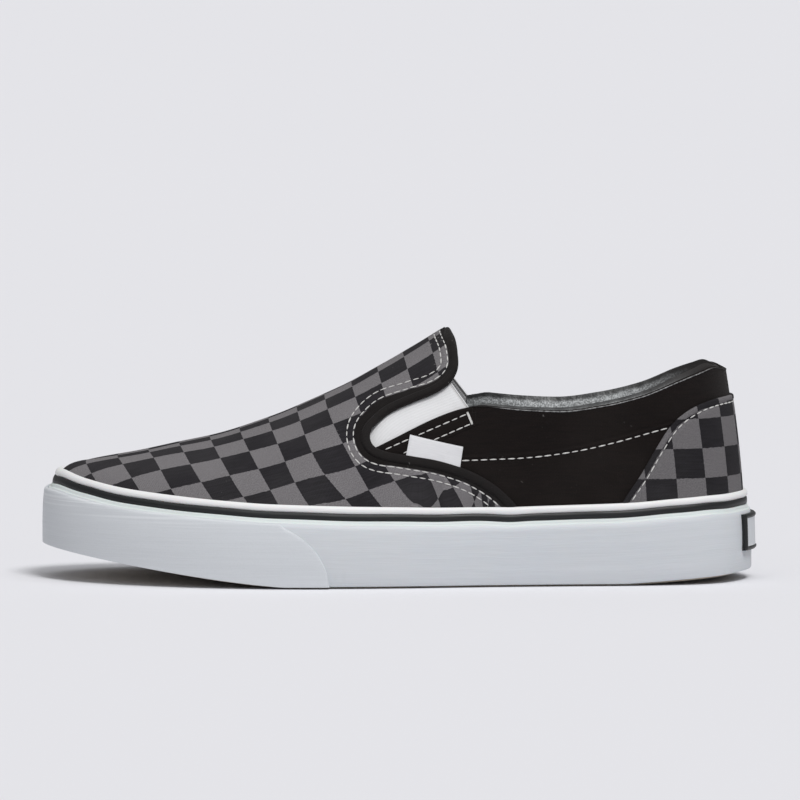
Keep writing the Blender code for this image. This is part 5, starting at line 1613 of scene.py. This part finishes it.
def make_footbed():
    """The footbed, dished along the middle, its edge rounded over."""
    across = np.linspace(-1, 1, 41)
    base = OUTSOLE_THICKNESS + GAP
    sections, cloth = [], []
    for angle in np.linspace(0, math.pi, 121):
        near, far = (LAST.edge(turn, CANVAS_WALL + INSOLE_CLEAR) for turn in (angle, -angle))
        row = near + (far - near) * (across[:, None] + 1) / 2
        share = row[:, 0] / SOLE_LENGTH
        width = float(np.linalg.norm(far - near))
        hollow = min(1.0, width / (0.4 * BALL_WIDTH)) * (1 - np.abs(across) ** 2.2)
        edge = (1 - np.abs(across)) * width / 2
        rounded = 0.0016 * (1 - ramp(edge, -0.001, 0.0022))
        bottom = np.column_stack([row, bottom_height(share) + base])
        top = bottom_height(share) + base + INSOLE_THICKNESS - INSOLE_CUP * hollow - rounded
        sections.append(np.concatenate([bottom, np.column_stack([row, top])[::-1]]))
        cloth.append(np.concatenate([row, row[::-1]]))
    bed = Pattern()
    bed.tube(np.array(sections), closed=False, cloth=np.array(cloth))
    return finished("footbed", bed, Finishes.footbed, "footbed", "insole", crease=math.radians(60))


# Rubber pieces


def tape_sag(angle):
    """Small unevenness of the tape as it was laid by hand, in metres."""
    x = float(LAST.at(angle, 0.3)[0]) / SOLE_LENGTH
    side = 1.0 if angle < math.pi else 0.7
    bump = 0.00045 * math.exp(-(((x - 0.655) / 0.022) ** 2))
    bump -= 0.00030 * math.exp(-(((x - 0.60) / 0.030) ** 2))
    return side * bump + 0.00012 * math.sin(9 * angle + 1.0) + 0.00008 * math.sin(23 * angle)


def ring_length(angles):
    places = LAST.at(angles, np.full(len(angles), 0.2))
    return np.concatenate([[0], np.cumsum(np.linalg.norm(np.diff(places, axis=0), axis=1))])


def make_side_tape():
    """The tall white tape: piping, groove for the line, thin band, ledge and main band."""
    ledge = TAPE_PIPING + STRIPE_WIDTH + TAPE_LEDGE
    band = GAP + TAPE_THICKNESS - TAPE_STEP
    groove = band - STRIPE_DEPTH - TAPE_PIPING_BULGE
    full = GAP + TAPE_THICKNESS
    turn = np.linspace(0, math.pi, 9)
    piping = [
        (TAPE_PIPING / 2 * (1 - math.cos(t)), band - 0.0011 + 0.0013 * math.sin(t) ** 0.8) for t in turn
    ]
    piping[0] = (0.0, GAP + 0.0004)
    start = TAPE_PIPING + STRIPE_WIDTH
    upper = [
        *piping, (TAPE_PIPING + 0.00005, groove), (start - 0.00005, groove),
        (start + 0.00005, band - 0.0007),
        (start + 0.0003, band - 0.00025), (start + 0.0008, band - 0.0001), (ledge - 0.0006, band - 0.0001),
        (ledge - 0.0003, band + 0.0001), (ledge - 0.00005, full - 0.0004), (ledge + 0.0002, full - 0.0001),
    ]
    angles = np.arange(420) * 2 * math.pi / 420
    length = ring_length(np.append(angles, 2 * math.pi))
    sections, cloth = [], []
    for i, angle in enumerate(angles):
        sag = tape_sag(angle)
        top = LAST.tape_top(angle)
        x = LAST.at(angle, top)[0] + SHIFT[0]
        inside = [LAST.at(angle, top * share, 0.0002) for share in (0.0, 0.25, 0.5, 0.75)]
        places, drops = [], []
        for k, (drop, out) in enumerate(upper):
            lean = SPLICE_LEAN * drop
            after = ramp(x - lean, SPLICE_X - 0.0003, SPLICE_X + 0.0003) if angle < math.pi else 0.0
            notch = math.exp(-(((x - lean - SPLICE_X) / 0.0006) ** 2)) if angle < math.pi else 0.0
            out = out - (0.00022 * float(after) + 0.0004 * notch) * (1.0 if k < 9 else 0.0)
            places.append(LAST.band(angle, drop + sag * min(1.0, 0.3 + k / 9), out))
            drops.append(drop)
        shares = np.linspace(1, 0, 10)
        rise = LAST.ledge_rise(angle)
        swell = 0.00025 * np.sin(math.pi * shares)
        flank = [LAST.at(angle, rise * s, full + w) for s, w in zip(shares[1:], swell[1:])]
        foot = LAST.tape_foot(angle, full)
        low = [foot + np.array([0, 0, 0.0009]),
               LAST.tape_foot(angle, full - 0.0003) + np.array([0, 0, 0.0002]),
               LAST.tape_foot(angle, full - 0.0010), LAST.tape_foot(angle, GAP)]
        section = np.array([*inside, *places, *flank, *low])
        depth = places[-1][2] - np.array([p[2] for p in flank + low])
        drops = np.concatenate([np.zeros(4), drops, drops[-1] + depth])
        sections.append(section)
        cloth.append(np.stack([np.full(len(drops), length[i]), drops], -1))
    tape = Pattern()
    tape.tube(np.array(sections), closed=True, cloth=np.array(cloth))
    return finished("side_tape", tape, Finishes.rubber, "white_rubber", "foxing", crease=math.radians(50))


def make_line():
    """The thin dark line laid in the side tape's groove."""
    band = GAP + TAPE_THICKNESS - TAPE_STEP
    low, high = band - STRIPE_DEPTH - TAPE_PIPING_BULGE + 0.0001, band - 0.0002
    top, foot = TAPE_PIPING + 0.00005, TAPE_PIPING + STRIPE_WIDTH - 0.00005
    corners = (
        (top, low), (top, high - 0.0003), (top + 0.0003, high), ((top + foot) / 2, high + 0.0001),
        (foot - 0.0003, high), (foot, high - 0.0003), (foot, low),
    )
    angles = np.arange(420) * 2 * math.pi / 420
    length = ring_length(angles)
    sections, cloth = [], []
    for i, angle in enumerate(angles):
        sag = tape_sag(angle)
        sections.append([LAST.band(angle, drop + sag, out) for drop, out in corners])
        cloth.append([(length[i], drop) for drop, _ in corners])
    line = Pattern()
    line.tube(np.array(sections), closed=True, cloth=np.array(cloth))
    return finished("side_line", line, Finishes.line, "black_rubber", "foxing_stripe")


def make_toe_bumper():
    """The toe's second rubber layer, its ends curving down to the sole."""
    low = GAP + TAPE_THICKNESS + 0.0001
    high = GAP + TAPE_THICKNESS + GAP + BUMPER_THICKNESS
    stations = []
    limit = (BUMPER_END[0][0] - 0.004) * SOLE_LENGTH
    for angle in np.linspace(0, math.pi, 420):
        rise = LAST.ledge_rise(angle)
        if LAST.at(angle, rise)[0] > limit:
            break
        stations.append((angle, rise, 1.0))
    for x, z in smooth_path(side_points(BUMPER_END), 46)[:-1]:
        angles, rises = LAST.on_side([(x, max(z, LAST.base_height(x) + 0.0001))], -1)
        stations.append((float(angles[0]), float(rises[0]), z))
    mirrored = [(2 * math.pi - angle, rise, z) for angle, rise, z in stations[:0:-1]]
    sections, cloth = [], []
    shares = np.linspace(1, 0, 13)
    both = mirrored + stations
    length = ring_length(np.array([a - 2 * math.pi if a > math.pi else a for a, _, _ in both]))
    for i, (angle, rise, top) in enumerate(both):
        from_end = min(i, len(both) - 1 - i)
        round_end = 0.0005 * (1 - min(1.0, from_end / 3)) ** 2
        foot = LAST.tape_foot(angle, low), LAST.tape_foot(angle, high - round_end)
        places = [LAST.at(angle, rise * share, low) for share in shares[::-1]]
        for drop, back in ((0.0, 0.0009), (0.0002, 0.0004), (0.0006, 0.0001)):
            place = LAST.rise_below(angle, rise, drop)[0]
            places.append(LAST.at(angle, place, high - back - round_end))
        lower = LAST.rise_below(angle, rise, 0.0012)[0]
        places += [LAST.at(angle, lower * share, high - round_end) for share in shares]
        places = [np.array([x, y, min(z, max(top, foot[0][2] + 0.0003))]) for x, y, z in places]
        section = np.array([foot[0], *places, foot[1]])
        sections.append(section)
        cloth.append(np.stack([np.full(len(section), length[i]), section[:, 2]], -1))
    sections = np.array(sections)
    middle = sections[:, sections.shape[1] // 2]
    run = np.concatenate([[0], np.cumsum(np.linalg.norm(np.diff(middle, axis=0), axis=1))])
    to_end = np.minimum(run, run[-1] - run)
    tops = np.array([LAST.at(angle, rise)[2] for angle, rise, _ in both])
    seam = np.stack(np.broadcast_arrays(to_end[:, None], tops[:, None] - sections[..., 2]), -1)
    layer = Pattern()
    layer.tube(sections, closed=False, cloth=np.array(cloth), seam=seam)
    return finished("toe_layer", layer, Finishes.toe, "white_rubber", "toe_bumper")


def make_heel_label():
    """The raised patch on the heel: a frame round a bare field."""
    reach = HEEL_LABEL_WIDTH / 2
    angles = np.linspace(math.pi - 1, math.pi, 400)
    side = np.abs(LAST.edge(angles)[:, 1] - LAST.edge(math.pi)[1])
    start = float(np.interp(-reach, -side, angles))
    low = GAP + TAPE_THICKNESS + 0.0001
    high = low + HEEL_LABEL_THICKNESS
    across, down = np.linspace(0, 1, 46), np.linspace(0, 1, 26)
    edge_x = np.minimum(across, 1 - across)[:, None] * HEEL_LABEL_WIDTH * np.ones_like(down)
    edge_y = np.minimum(down, 1 - down)[None] * HEEL_LABEL_HEIGHT * np.ones_like(across)[:, None]
    edge = np.minimum(edge_x, edge_y)
    raised = high - 0.0005 * ramp(edge, 0.0014, 0.0019) - 0.0007 * (1 - ramp(edge, -0.0003, 0.0007))
    patch = Pattern()
    inner, outer = [], []
    for i, angle in enumerate(start + (2 * math.pi - 2 * start) * across):
        drops = HEEL_LABEL_DROP + HEEL_LABEL_HEIGHT * down
        inner.append([LAST.band(angle, drop, low) for drop in drops])
        outer.append([LAST.band(angle, drop, out) for drop, out in zip(drops, raised[i])])
    cloth = np.stack([edge_x, edge_y], -1)
    patch.wall(patch.add(np.array(inner), cloth), patch.add(np.array(outer), cloth))
    return finished("heel_patch", patch, Finishes.patch, "black_rubber", "heel_label")


def finish_outsole():
    """The outsole stays as the frame has it, in better rubber."""
    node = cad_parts["outsole"]
    for slot in node.material_slots:
        slot.material = Finishes.tread


# Stitches


def stitch_tree():
    """Geometry nodes that set one stitch on each point, lying along its row."""
    sockets = [
        ("Rows", "NodeSocketGeometry", None), ("Length", "NodeSocketFloat", 0.0020),
        ("Thickness", "NodeSocketFloat", 0.0006), ("Unevenness", "NodeSocketFloat", 0.15),
        ("Seed", "NodeSocketInt", 7), ("Thread", "NodeSocketMaterial", None),
    ]
    tree, b, given, result = new_group("Stitches", sockets, [("Mesh", "NodeSocketGeometry")],
                                       "GeometryNodeTree")
    ball = b.put("GeometryNodeMeshUVSphere", {"Segments": 8, "Rings": 6, "Radius": 0.5})
    size = b.put("ShaderNodeCombineXYZ", {0: given["Length"], 1: given["Thickness"],
                                          2: b.calc("MULTIPLY", given["Thickness"], 0.8)})
    stitch = b.put("GeometryNodeTransform", {"Geometry": ball, "Scale": size})
    along = b.put("GeometryNodeInputNamedAttribute", {"Name": "along"}, data_type="FLOAT_VECTOR")
    outward = b.put("GeometryNodeInputNamedAttribute", {"Name": "outward"}, data_type="FLOAT_VECTOR")
    turn = b.put("FunctionNodeAlignRotationToVector", {"Vector": along}, axis="X")
    turn = b.put("FunctionNodeAlignRotationToVector", {"Rotation": turn, "Vector": outward}, axis="Z",
                 pivot_axis="X")
    least = b.calc("SUBTRACT", 1.0, given["Unevenness"])
    most = b.calc("ADD", 1.0, given["Unevenness"])
    node = tree.nodes.new("FunctionNodeRandomValue")
    node.data_type = "FLOAT"
    number = {socket.name: socket for socket in node.inputs if socket.enabled}
    b.join(number["Min"], least)
    b.join(number["Max"], most)
    b.join(number["Seed"], given["Seed"])
    uneven = [socket for socket in node.outputs if socket.enabled][0]
    placed = b.put("GeometryNodeInstanceOnPoints", {"Points": given["Rows"], "Instance": stitch,
                                                    "Rotation": turn, "Scale": uneven})
    real = b.put("GeometryNodeRealizeInstances", {"Geometry": placed})
    b.join(result["Mesh"], b.put("GeometryNodeSetMaterial", {"Geometry": real, "Material": given["Thread"]}))
    return tree


def row_on_form(path, side, out, pitch):
    """Stitch places along a side-view path: where, along what, and which way is out."""
    angles, rises = LAST.on_side(path, side)
    inside = rises < 0.995
    angles, rises = angles[inside], rises[inside]
    form = LAST.at(angles, rises)
    places = LAST.at(angles, rises, out + creased(form) * depth_scale())
    for _ in range(3):
        places[1:-1] = (places[:-2] + 2 * places[1:-1] + places[2:]) / 4
    length = np.concatenate([[0], np.cumsum(np.linalg.norm(np.diff(places, axis=0), axis=1))])
    count = max(1, round(length[-1] / pitch))
    at = (np.arange(count) + 0.5) * length[-1] / count
    read = lambda rows: np.stack([np.interp(at, length, rows[:, k]) for k in range(3)], -1)
    run = read(np.gradient(places, axis=0))
    return read(places), run / np.linalg.norm(run, axis=1, keepdims=True), read(LAST.normal(angles, rises))


def stitch_rows():
    """Every row of stitches on the shoe."""
    pitch = bpy.context.scene.sneaker_sizes.stitch_pitch
    rows = []
    ridge = side_line([row[:2] for row in TOP_LINE])
    for side in (-1, 1):
        for inside in VAMP_ROWS:
            forward = (inside + row_inset(EDGE.length))[:, None]
            path = EDGE.line(EDGE.length[0], EDGE.length[-1], 700, forward)
            path = path[path[:, 1] < ridge(path[:, 0] / SOLE_LENGTH)]
            angles, rises = LAST.on_side(path, side)
            above = np.array([r > LAST.tape_top(a) + 0.004 for a, r in zip(angles, rises)])
            rows.append(row_on_form(path[above], side, VAMP_STEP + 0.00008, pitch))
        start, end = side_points(QUARTER_FRONT)
        run = (end - start) / np.linalg.norm(end - start)
        below = np.array([run[1], -run[0]])
        ends = []
        for inside in FRONT_ROWS:
            path = np.linspace(start - run * 0.001, end - run * 0.0025, 80) + below * inside
            away, _ = line_distance(path, EDGE.path)
            path = path[away < -0.0004]
            ends.append(path[-1])
            rows.append(row_on_form(path, side, 0.00008, pitch))
        for ahead in (0.0002, 0.0006):
            bar = np.linspace(ends[0], ends[1], 30) + run * ahead
            rows.append(row_on_form(bar, side, 0.00012, 0.0017))
        path = seam_path(QUARTER_SEAM) - (0, 0.0010)
        away, _ = line_distance(path, smooth_path(side_points(COUNTER_EDGE), 300))
        path = path[away < -0.0002]
        rows.append(row_on_form(path, side, 0.00008, pitch * 1.04))
        line = smooth_path(side_points(COUNTER_EDGE), 400)
        turn = np.gradient(line, axis=0)
        turn /= np.linalg.norm(turn, axis=1, keepdims=True)
        line = line + np.stack([turn[:, 1], -turn[:, 0]], -1) * COUNTER_ROW
        line = line[line[:, 0] < 0.935 * SOLE_LENGTH]
        angles, rises = LAST.on_side(line, side)
        above = np.array([r > LAST.tape_top(a) + 0.004 for a, r in zip(angles, rises)])
        rows.append(row_on_form(line[above], side, GAP + COUNTER_THICKNESS - 0.00008, pitch))
    level = side_line(COUNTER_EDGE)
    start = float(LAST.on_side([(0.935 * SOLE_LENGTH, float(level(0.935)) - COUNTER_ROW)], -1)[0][0])
    angles = np.linspace(start, 2 * math.pi - start, 160)
    rises = np.array([LAST.rise_below(a, LAST.rise_at(a, level), COUNTER_ROW)[0] for a in angles])
    places = LAST.at(angles, rises, np.full(160, GAP + COUNTER_THICKNESS - 0.00008))
    length = np.concatenate([[0], np.cumsum(np.linalg.norm(np.diff(places, axis=0), axis=1))])
    at = np.arange(pitch / 2, length[-1], pitch)
    read = lambda values: np.stack([np.interp(at, length, values[:, k]) for k in range(3)], -1)
    run = read(np.gradient(places, axis=0))
    course = run / np.linalg.norm(run, axis=1, keepdims=True)
    rows.append((read(places), course, read(LAST.normal(angles, rises))))
    return [np.concatenate(column) for column in zip(*rows)]


def make_stitches():
    """All the white stitches, grown by geometry nodes and kept as a plain mesh."""
    sizes = bpy.context.scene.sneaker_sizes
    places, along, outward = stitch_rows()
    mesh = bpy.data.meshes.new("stitch_rows")
    mesh.from_pydata(places + SHIFT, [], [])
    for name, values in (("along", along), ("outward", outward)):
        mesh.attributes.new(name, "FLOAT_VECTOR", "POINT").data.foreach_set("vector", values.ravel())
    rows = bpy.data.objects.new("stitch_rows", mesh)
    bpy.context.scene.collection.objects.link(rows)
    modifier = rows.modifiers.new("Stitches", "NODES")
    modifier.node_group = stitch_tree()
    given = {
        "Length": sizes.stitch_length, "Thickness": sizes.stitch_thickness,
        "Unevenness": 0.12, "Seed": 7, "Thread": Finishes.thread,
    }
    for item in modifier.node_group.interface.items_tree:
        if item.name in given and item.in_out == "INPUT":
            modifier[item.identifier] = given[item.name]
    graph = bpy.context.evaluated_depsgraph_get()
    made = bpy.data.meshes.new_from_object(rows.evaluated_get(graph))
    bpy.data.objects.remove(rows, do_unlink=True)
    made.shade_smooth()
    obj = bpy.data.objects.new("stitches", made)
    bpy.context.scene.collection.objects.link(obj)
    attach(obj, "root")
    return obj


# Stage


def make_stage():
    """Pale floor, soft light, and the camera at the photograph's angle."""
    sizes, colours = bpy.context.scene.sneaker_sizes, bpy.context.scene.sneaker_colours
    scene = bpy.context.scene
    mesh = bpy.data.meshes.new("studio_floor")
    reach = sizes.floor_reach
    corners = [(x * reach, y * reach, 0.0) for x, y in ((-1, -1), (1, -1), (1, 1), (-1, 1))]
    mesh.from_pydata(corners, [], [(0, 1, 2, 3)])
    mesh.materials.append(studio_floor())
    floor = bpy.data.objects.new("studio_floor", mesh)
    scene.collection.objects.link(floor)
    world = bpy.data.worlds.new("studio")
    world.use_nodes = True
    world.node_tree.nodes["Background"].inputs["Color"].default_value = rgb(colours.sky)
    world.node_tree.nodes["Background"].inputs["Strength"].default_value = sizes.sky_strength
    scene.world = world
    for name, strength, spread, aim in (
        ("key_light", sizes.key_strength, 20.0, (-0.28, 0.62, -1.0)),
        ("top_light", sizes.top_strength, 60.0, (-0.05, 0.10, -1.0)),
    ):
        lamp = bpy.data.lights.new(name, "SUN")
        lamp.energy, lamp.angle = strength, math.radians(spread)
        holder = bpy.data.objects.new(name, lamp)
        holder.rotation_euler = Vector(aim).to_track_quat("-Z", "Y").to_euler()
        scene.collection.objects.link(holder)
    tilt = math.radians(sizes.camera_height)
    target = Vector((0.0002, 0.0, 0.0722))
    lens = bpy.data.cameras.new("photo_camera")
    lens.sensor_width = 36.0
    lens.lens = 36.0 * sizes.camera_distance / sizes.frame_width
    lens.clip_end = 100.0
    camera = bpy.data.objects.new("photo_camera", lens)
    camera.location = target + sizes.camera_distance * Vector((0, -math.cos(tilt), math.sin(tilt)))
    camera.rotation_euler = (target - camera.location).to_track_quat("-Z", "Y").to_euler()
    scene.collection.objects.link(camera)
    scene.camera = camera
    scene.view_settings.view_transform = "Standard"


# Sizes and colours a user would change


def colour(name, description, default):
    return FloatVectorProperty(name=name, description=description, subtype="COLOR", size=3, default=default,
                               min=0.0, max=1.0)


def length_of(name, description, default, low, high):
    return FloatProperty(name=name, description=description, default=default, min=low, max=high,
                         subtype="DISTANCE", unit="LENGTH")


class SneakerSizes(bpy.types.PropertyGroup):
    """Sizes of the stitches, the creases and the studio."""

    stitch_pitch: length_of("Stitch pitch", "From one stitch to the next", 0.0035, 0.0015, 0.006)
    stitch_length: length_of("Stitch length", "Length of one stitch", 0.0030, 0.001, 0.005)
    stitch_thickness: length_of("Stitch thickness", "Thickness of the thread", 0.00056, 0.0003, 0.0012)
    piping_radius: length_of("Collar piping", "Radius of the cord along the collar", 0.00022, 0.0001, 0.001)
    crease_depth: FloatProperty(name="Crease depth", description="Scale of all the soft creases",
                                default=1.0, min=0.0, max=2.0)
    floor_reach: length_of("Floor", "Half the side of the floor", 14.0, 2.0, 40.0)
    camera_distance: length_of("Camera distance", "From the camera to the shoe", 6.0, 1.0, 20.0)
    camera_height: FloatProperty(name="Camera tilt", description="Degrees above level", default=4.5,
                                 min=0.0, max=80.0)
    frame_width: length_of("Picture width", "What the picture's width covers at the shoe", 0.32448, 0.2, 2.0)
    sky_strength: FloatProperty(name="Sky", description="Strength of the light from all round", default=0.30,
                                min=0.0, max=5.0)
    key_strength: FloatProperty(name="Key light", description="Strength of the front light", default=1.80,
                                min=0.0, max=20.0)
    top_strength: FloatProperty(name="Top light", description="Strength of the light from above",
                                default=0.72, min=0.0, max=20.0)


class SneakerColours(bpy.types.PropertyGroup):
    """Colours of the cloth, the rubber and the studio."""

    canvas: colour("Canvas", "Black canvas of the quarters", (0.0068, 0.0046, 0.0042))
    check_black: colour("Black checks", "Dark checks of the cloth", (0.0175, 0.0160, 0.0190))
    check_grey: colour("Grey checks", "Pale checks of the cloth", (0.198, 0.188, 0.195))
    binding: colour("Binding", "Rolled edge of the vamp", (0.0090, 0.0072, 0.0070))
    elastic: colour("Elastic", "Gores", (0.78, 0.78, 0.79))
    lining: colour("Lining", "Collar's padded lining", (0.050, 0.052, 0.053))
    piping: colour("Piping", "Bright upper edge of the side tape", (0.84, 0.84, 0.84))
    cord: colour("Collar cord", "Thin cord along the collar", (0.22, 0.22, 0.22))
    thin_band: colour("Thin band", "Band under the dark line", (0.66, 0.71, 0.70))
    rubber: colour("Rubber", "Main band of the side tape", (0.625, 0.648, 0.675))
    line: colour("Line", "Dark line of the side tape", (0.009, 0.010, 0.011))
    label: colour("Label", "Bare woven tab", (0.78, 0.78, 0.80))
    footbed: colour("Footbed", "Cloth of the footbed", (0.055, 0.055, 0.060))
    tread: colour("Tread", "Rubber of the outsole", (0.56, 0.50, 0.41))
    thread: colour("Thread", "Stitches", (0.66, 0.65, 0.63))
    floor: colour("Floor", "Studio floor", (0.78, 0.78, 0.81))
    sky: colour("Light", "Colour of the light from all round", (0.985, 0.985, 1.0))


# Materials


def make_finishes():
    """The shader groups and the materials."""
    colours = bpy.context.scene.sneaker_colours
    Groups.weave, Groups.groove = weave_group(), groove_group()
    Groups.lint, Groups.rubber = lint_group(), rubber_group()
    Finishes.checked = checked_canvas("checked_canvas", VAMP_ROWS, 0.0037)
    # The heel's copy of the checked cloth is darkened to 0.80 as a painted shade.
    Finishes.heel = checked_canvas("heel_checked_canvas", (COUNTER_ROW,), -0.001, 0.80)
    Finishes.black = black_canvas()
    Finishes.binding = twill_tape("binding_twill", colours.binding, 0.06)
    Finishes.piping = collar_cord()
    Finishes.elastic = ribbed_elastic()
    Finishes.rubber, Finishes.toe = side_rubber(), toe_rubber()
    Finishes.line, Finishes.patch = line_rubber(), patch_rubber()
    Finishes.lining, Finishes.tab = soft_lining(), woven_tab()
    Finishes.footbed, Finishes.tread = footbed_cloth(), tread_rubber()
    Finishes.thread = white_thread()


# Operators and panel


class SNEAKER_OT_finishes(bpy.types.Operator):
    """Makes the shader groups and the materials."""

    bl_idname = "sneaker.finishes"
    bl_label = "Materials"

    def execute(self, context):
        make_finishes()
        return {"FINISHED"}


class SNEAKER_OT_vamp(bpy.types.Operator):
    """Makes the checked vamp."""

    bl_idname = "sneaker.vamp"
    bl_label = "Vamp"

    def execute(self, context):
        make_vamp()
        return {"FINISHED"}


class SNEAKER_OT_quarters(bpy.types.Operator):
    """Makes the black canvas behind the gores."""

    bl_idname = "sneaker.quarters"
    bl_label = "Quarters"

    def execute(self, context):
        make_quarters()
        make_inner_cloth()
        return {"FINISHED"}


class SNEAKER_OT_gores(bpy.types.Operator):
    """Makes the two elastic panels."""

    bl_idname = "sneaker.gores"
    bl_label = "Gores"

    def execute(self, context):
        make_gore("gore_lateral", -1)
        make_gore("gore_medial", 1)
        return {"FINISHED"}


class SNEAKER_OT_binding(bpy.types.Operator):
    """Makes the rolled edge of the vamp."""

    bl_idname = "sneaker.binding"
    bl_label = "Binding"

    def execute(self, context):
        make_binding()
        return {"FINISHED"}


class SNEAKER_OT_counter(bpy.types.Operator):
    """Makes the checked overlay round the heel."""

    bl_idname = "sneaker.counter"
    bl_label = "Heel overlay"

    def execute(self, context):
        make_counter()
        return {"FINISHED"}


class SNEAKER_OT_collar(bpy.types.Operator):
    """Makes the padded lining and its piping."""

    bl_idname = "sneaker.collar"
    bl_label = "Collar"

    def execute(self, context):
        make_lining()
        make_collar_piping()
        return {"FINISHED"}


class SNEAKER_OT_label(bpy.types.Operator):
    """Makes the bare woven tab."""

    bl_idname = "sneaker.label"
    bl_label = "Side tab"

    def execute(self, context):
        make_side_label()
        return {"FINISHED"}


class SNEAKER_OT_footbed(bpy.types.Operator):
    """Makes the footbed."""

    bl_idname = "sneaker.footbed"
    bl_label = "Footbed"

    def execute(self, context):
        make_footbed()
        return {"FINISHED"}


class SNEAKER_OT_side_tape(bpy.types.Operator):
    """Makes the white side tape and its dark line."""

    bl_idname = "sneaker.side_tape"
    bl_label = "Side tape"

    def execute(self, context):
        make_side_tape()
        make_line()
        return {"FINISHED"}


class SNEAKER_OT_toe_layer(bpy.types.Operator):
    """Makes the second rubber layer round the toe."""

    bl_idname = "sneaker.toe_layer"
    bl_label = "Toe layer"

    def execute(self, context):
        make_toe_bumper()
        return {"FINISHED"}


class SNEAKER_OT_heel_label(bpy.types.Operator):
    """Makes the bare raised patch on the heel."""

    bl_idname = "sneaker.heel_label"
    bl_label = "Heel patch"

    def execute(self, context):
        make_heel_label()
        return {"FINISHED"}


class SNEAKER_OT_outsole(bpy.types.Operator):
    """Gives the frame's outsole its rubber."""

    bl_idname = "sneaker.outsole"
    bl_label = "Outsole"

    def execute(self, context):
        finish_outsole()
        return {"FINISHED"}


class SNEAKER_OT_stitches(bpy.types.Operator):
    """Makes every row of stitches."""

    bl_idname = "sneaker.stitches"
    bl_label = "Stitches"

    def execute(self, context):
        make_stitches()
        return {"FINISHED"}


class SNEAKER_OT_stage(bpy.types.Operator):
    """Makes the floor, the light and the camera."""

    bl_idname = "sneaker.stage"
    bl_label = "Stage"

    def execute(self, context):
        make_stage()
        return {"FINISHED"}


STEPS = (
    SNEAKER_OT_finishes,
    SNEAKER_OT_vamp,
    SNEAKER_OT_quarters,
    SNEAKER_OT_gores,
    SNEAKER_OT_binding,
    SNEAKER_OT_counter,
    SNEAKER_OT_collar,
    SNEAKER_OT_label,
    SNEAKER_OT_footbed,
    SNEAKER_OT_side_tape,
    SNEAKER_OT_toe_layer,
    SNEAKER_OT_heel_label,
    SNEAKER_OT_outsole,
    SNEAKER_OT_stitches,
    SNEAKER_OT_stage,
)


class SNEAKER_PT_panel(bpy.types.Panel):
    """Lists the steps, and the sizes and colours, in the 3D view's sidebar."""

    bl_idname = "SNEAKER_PT_panel"
    bl_label = "Sneaker"
    bl_space_type = "VIEW_3D"
    bl_region_type = "UI"
    bl_category = "Sneaker"

    def draw(self, context):
        for made in STEPS:
            self.layout.operator(made.bl_idname)
        for group in (context.scene.sneaker_sizes, context.scene.sneaker_colours):
            for name in group.bl_rna.properties.keys():
                if name not in ("rna_type", "name"):
                    self.layout.prop(group, name)


CLASSES = (SneakerSizes, SneakerColours, *STEPS, SNEAKER_PT_panel)


def register():
    for made in CLASSES:
        bpy.utils.register_class(made)
    bpy.types.Scene.sneaker_sizes = PointerProperty(type=SneakerSizes)
    bpy.types.Scene.sneaker_colours = PointerProperty(type=SneakerColours)


def unregister():
    del bpy.types.Scene.sneaker_colours
    del bpy.types.Scene.sneaker_sizes
    for made in reversed(CLASSES):
        bpy.utils.unregister_class(made)


def main():
    register()
    for made in STEPS:
        getattr(bpy.ops.sneaker, made.bl_idname.split(".")[1])()
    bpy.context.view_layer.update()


if __name__ == "__main__":
    main()
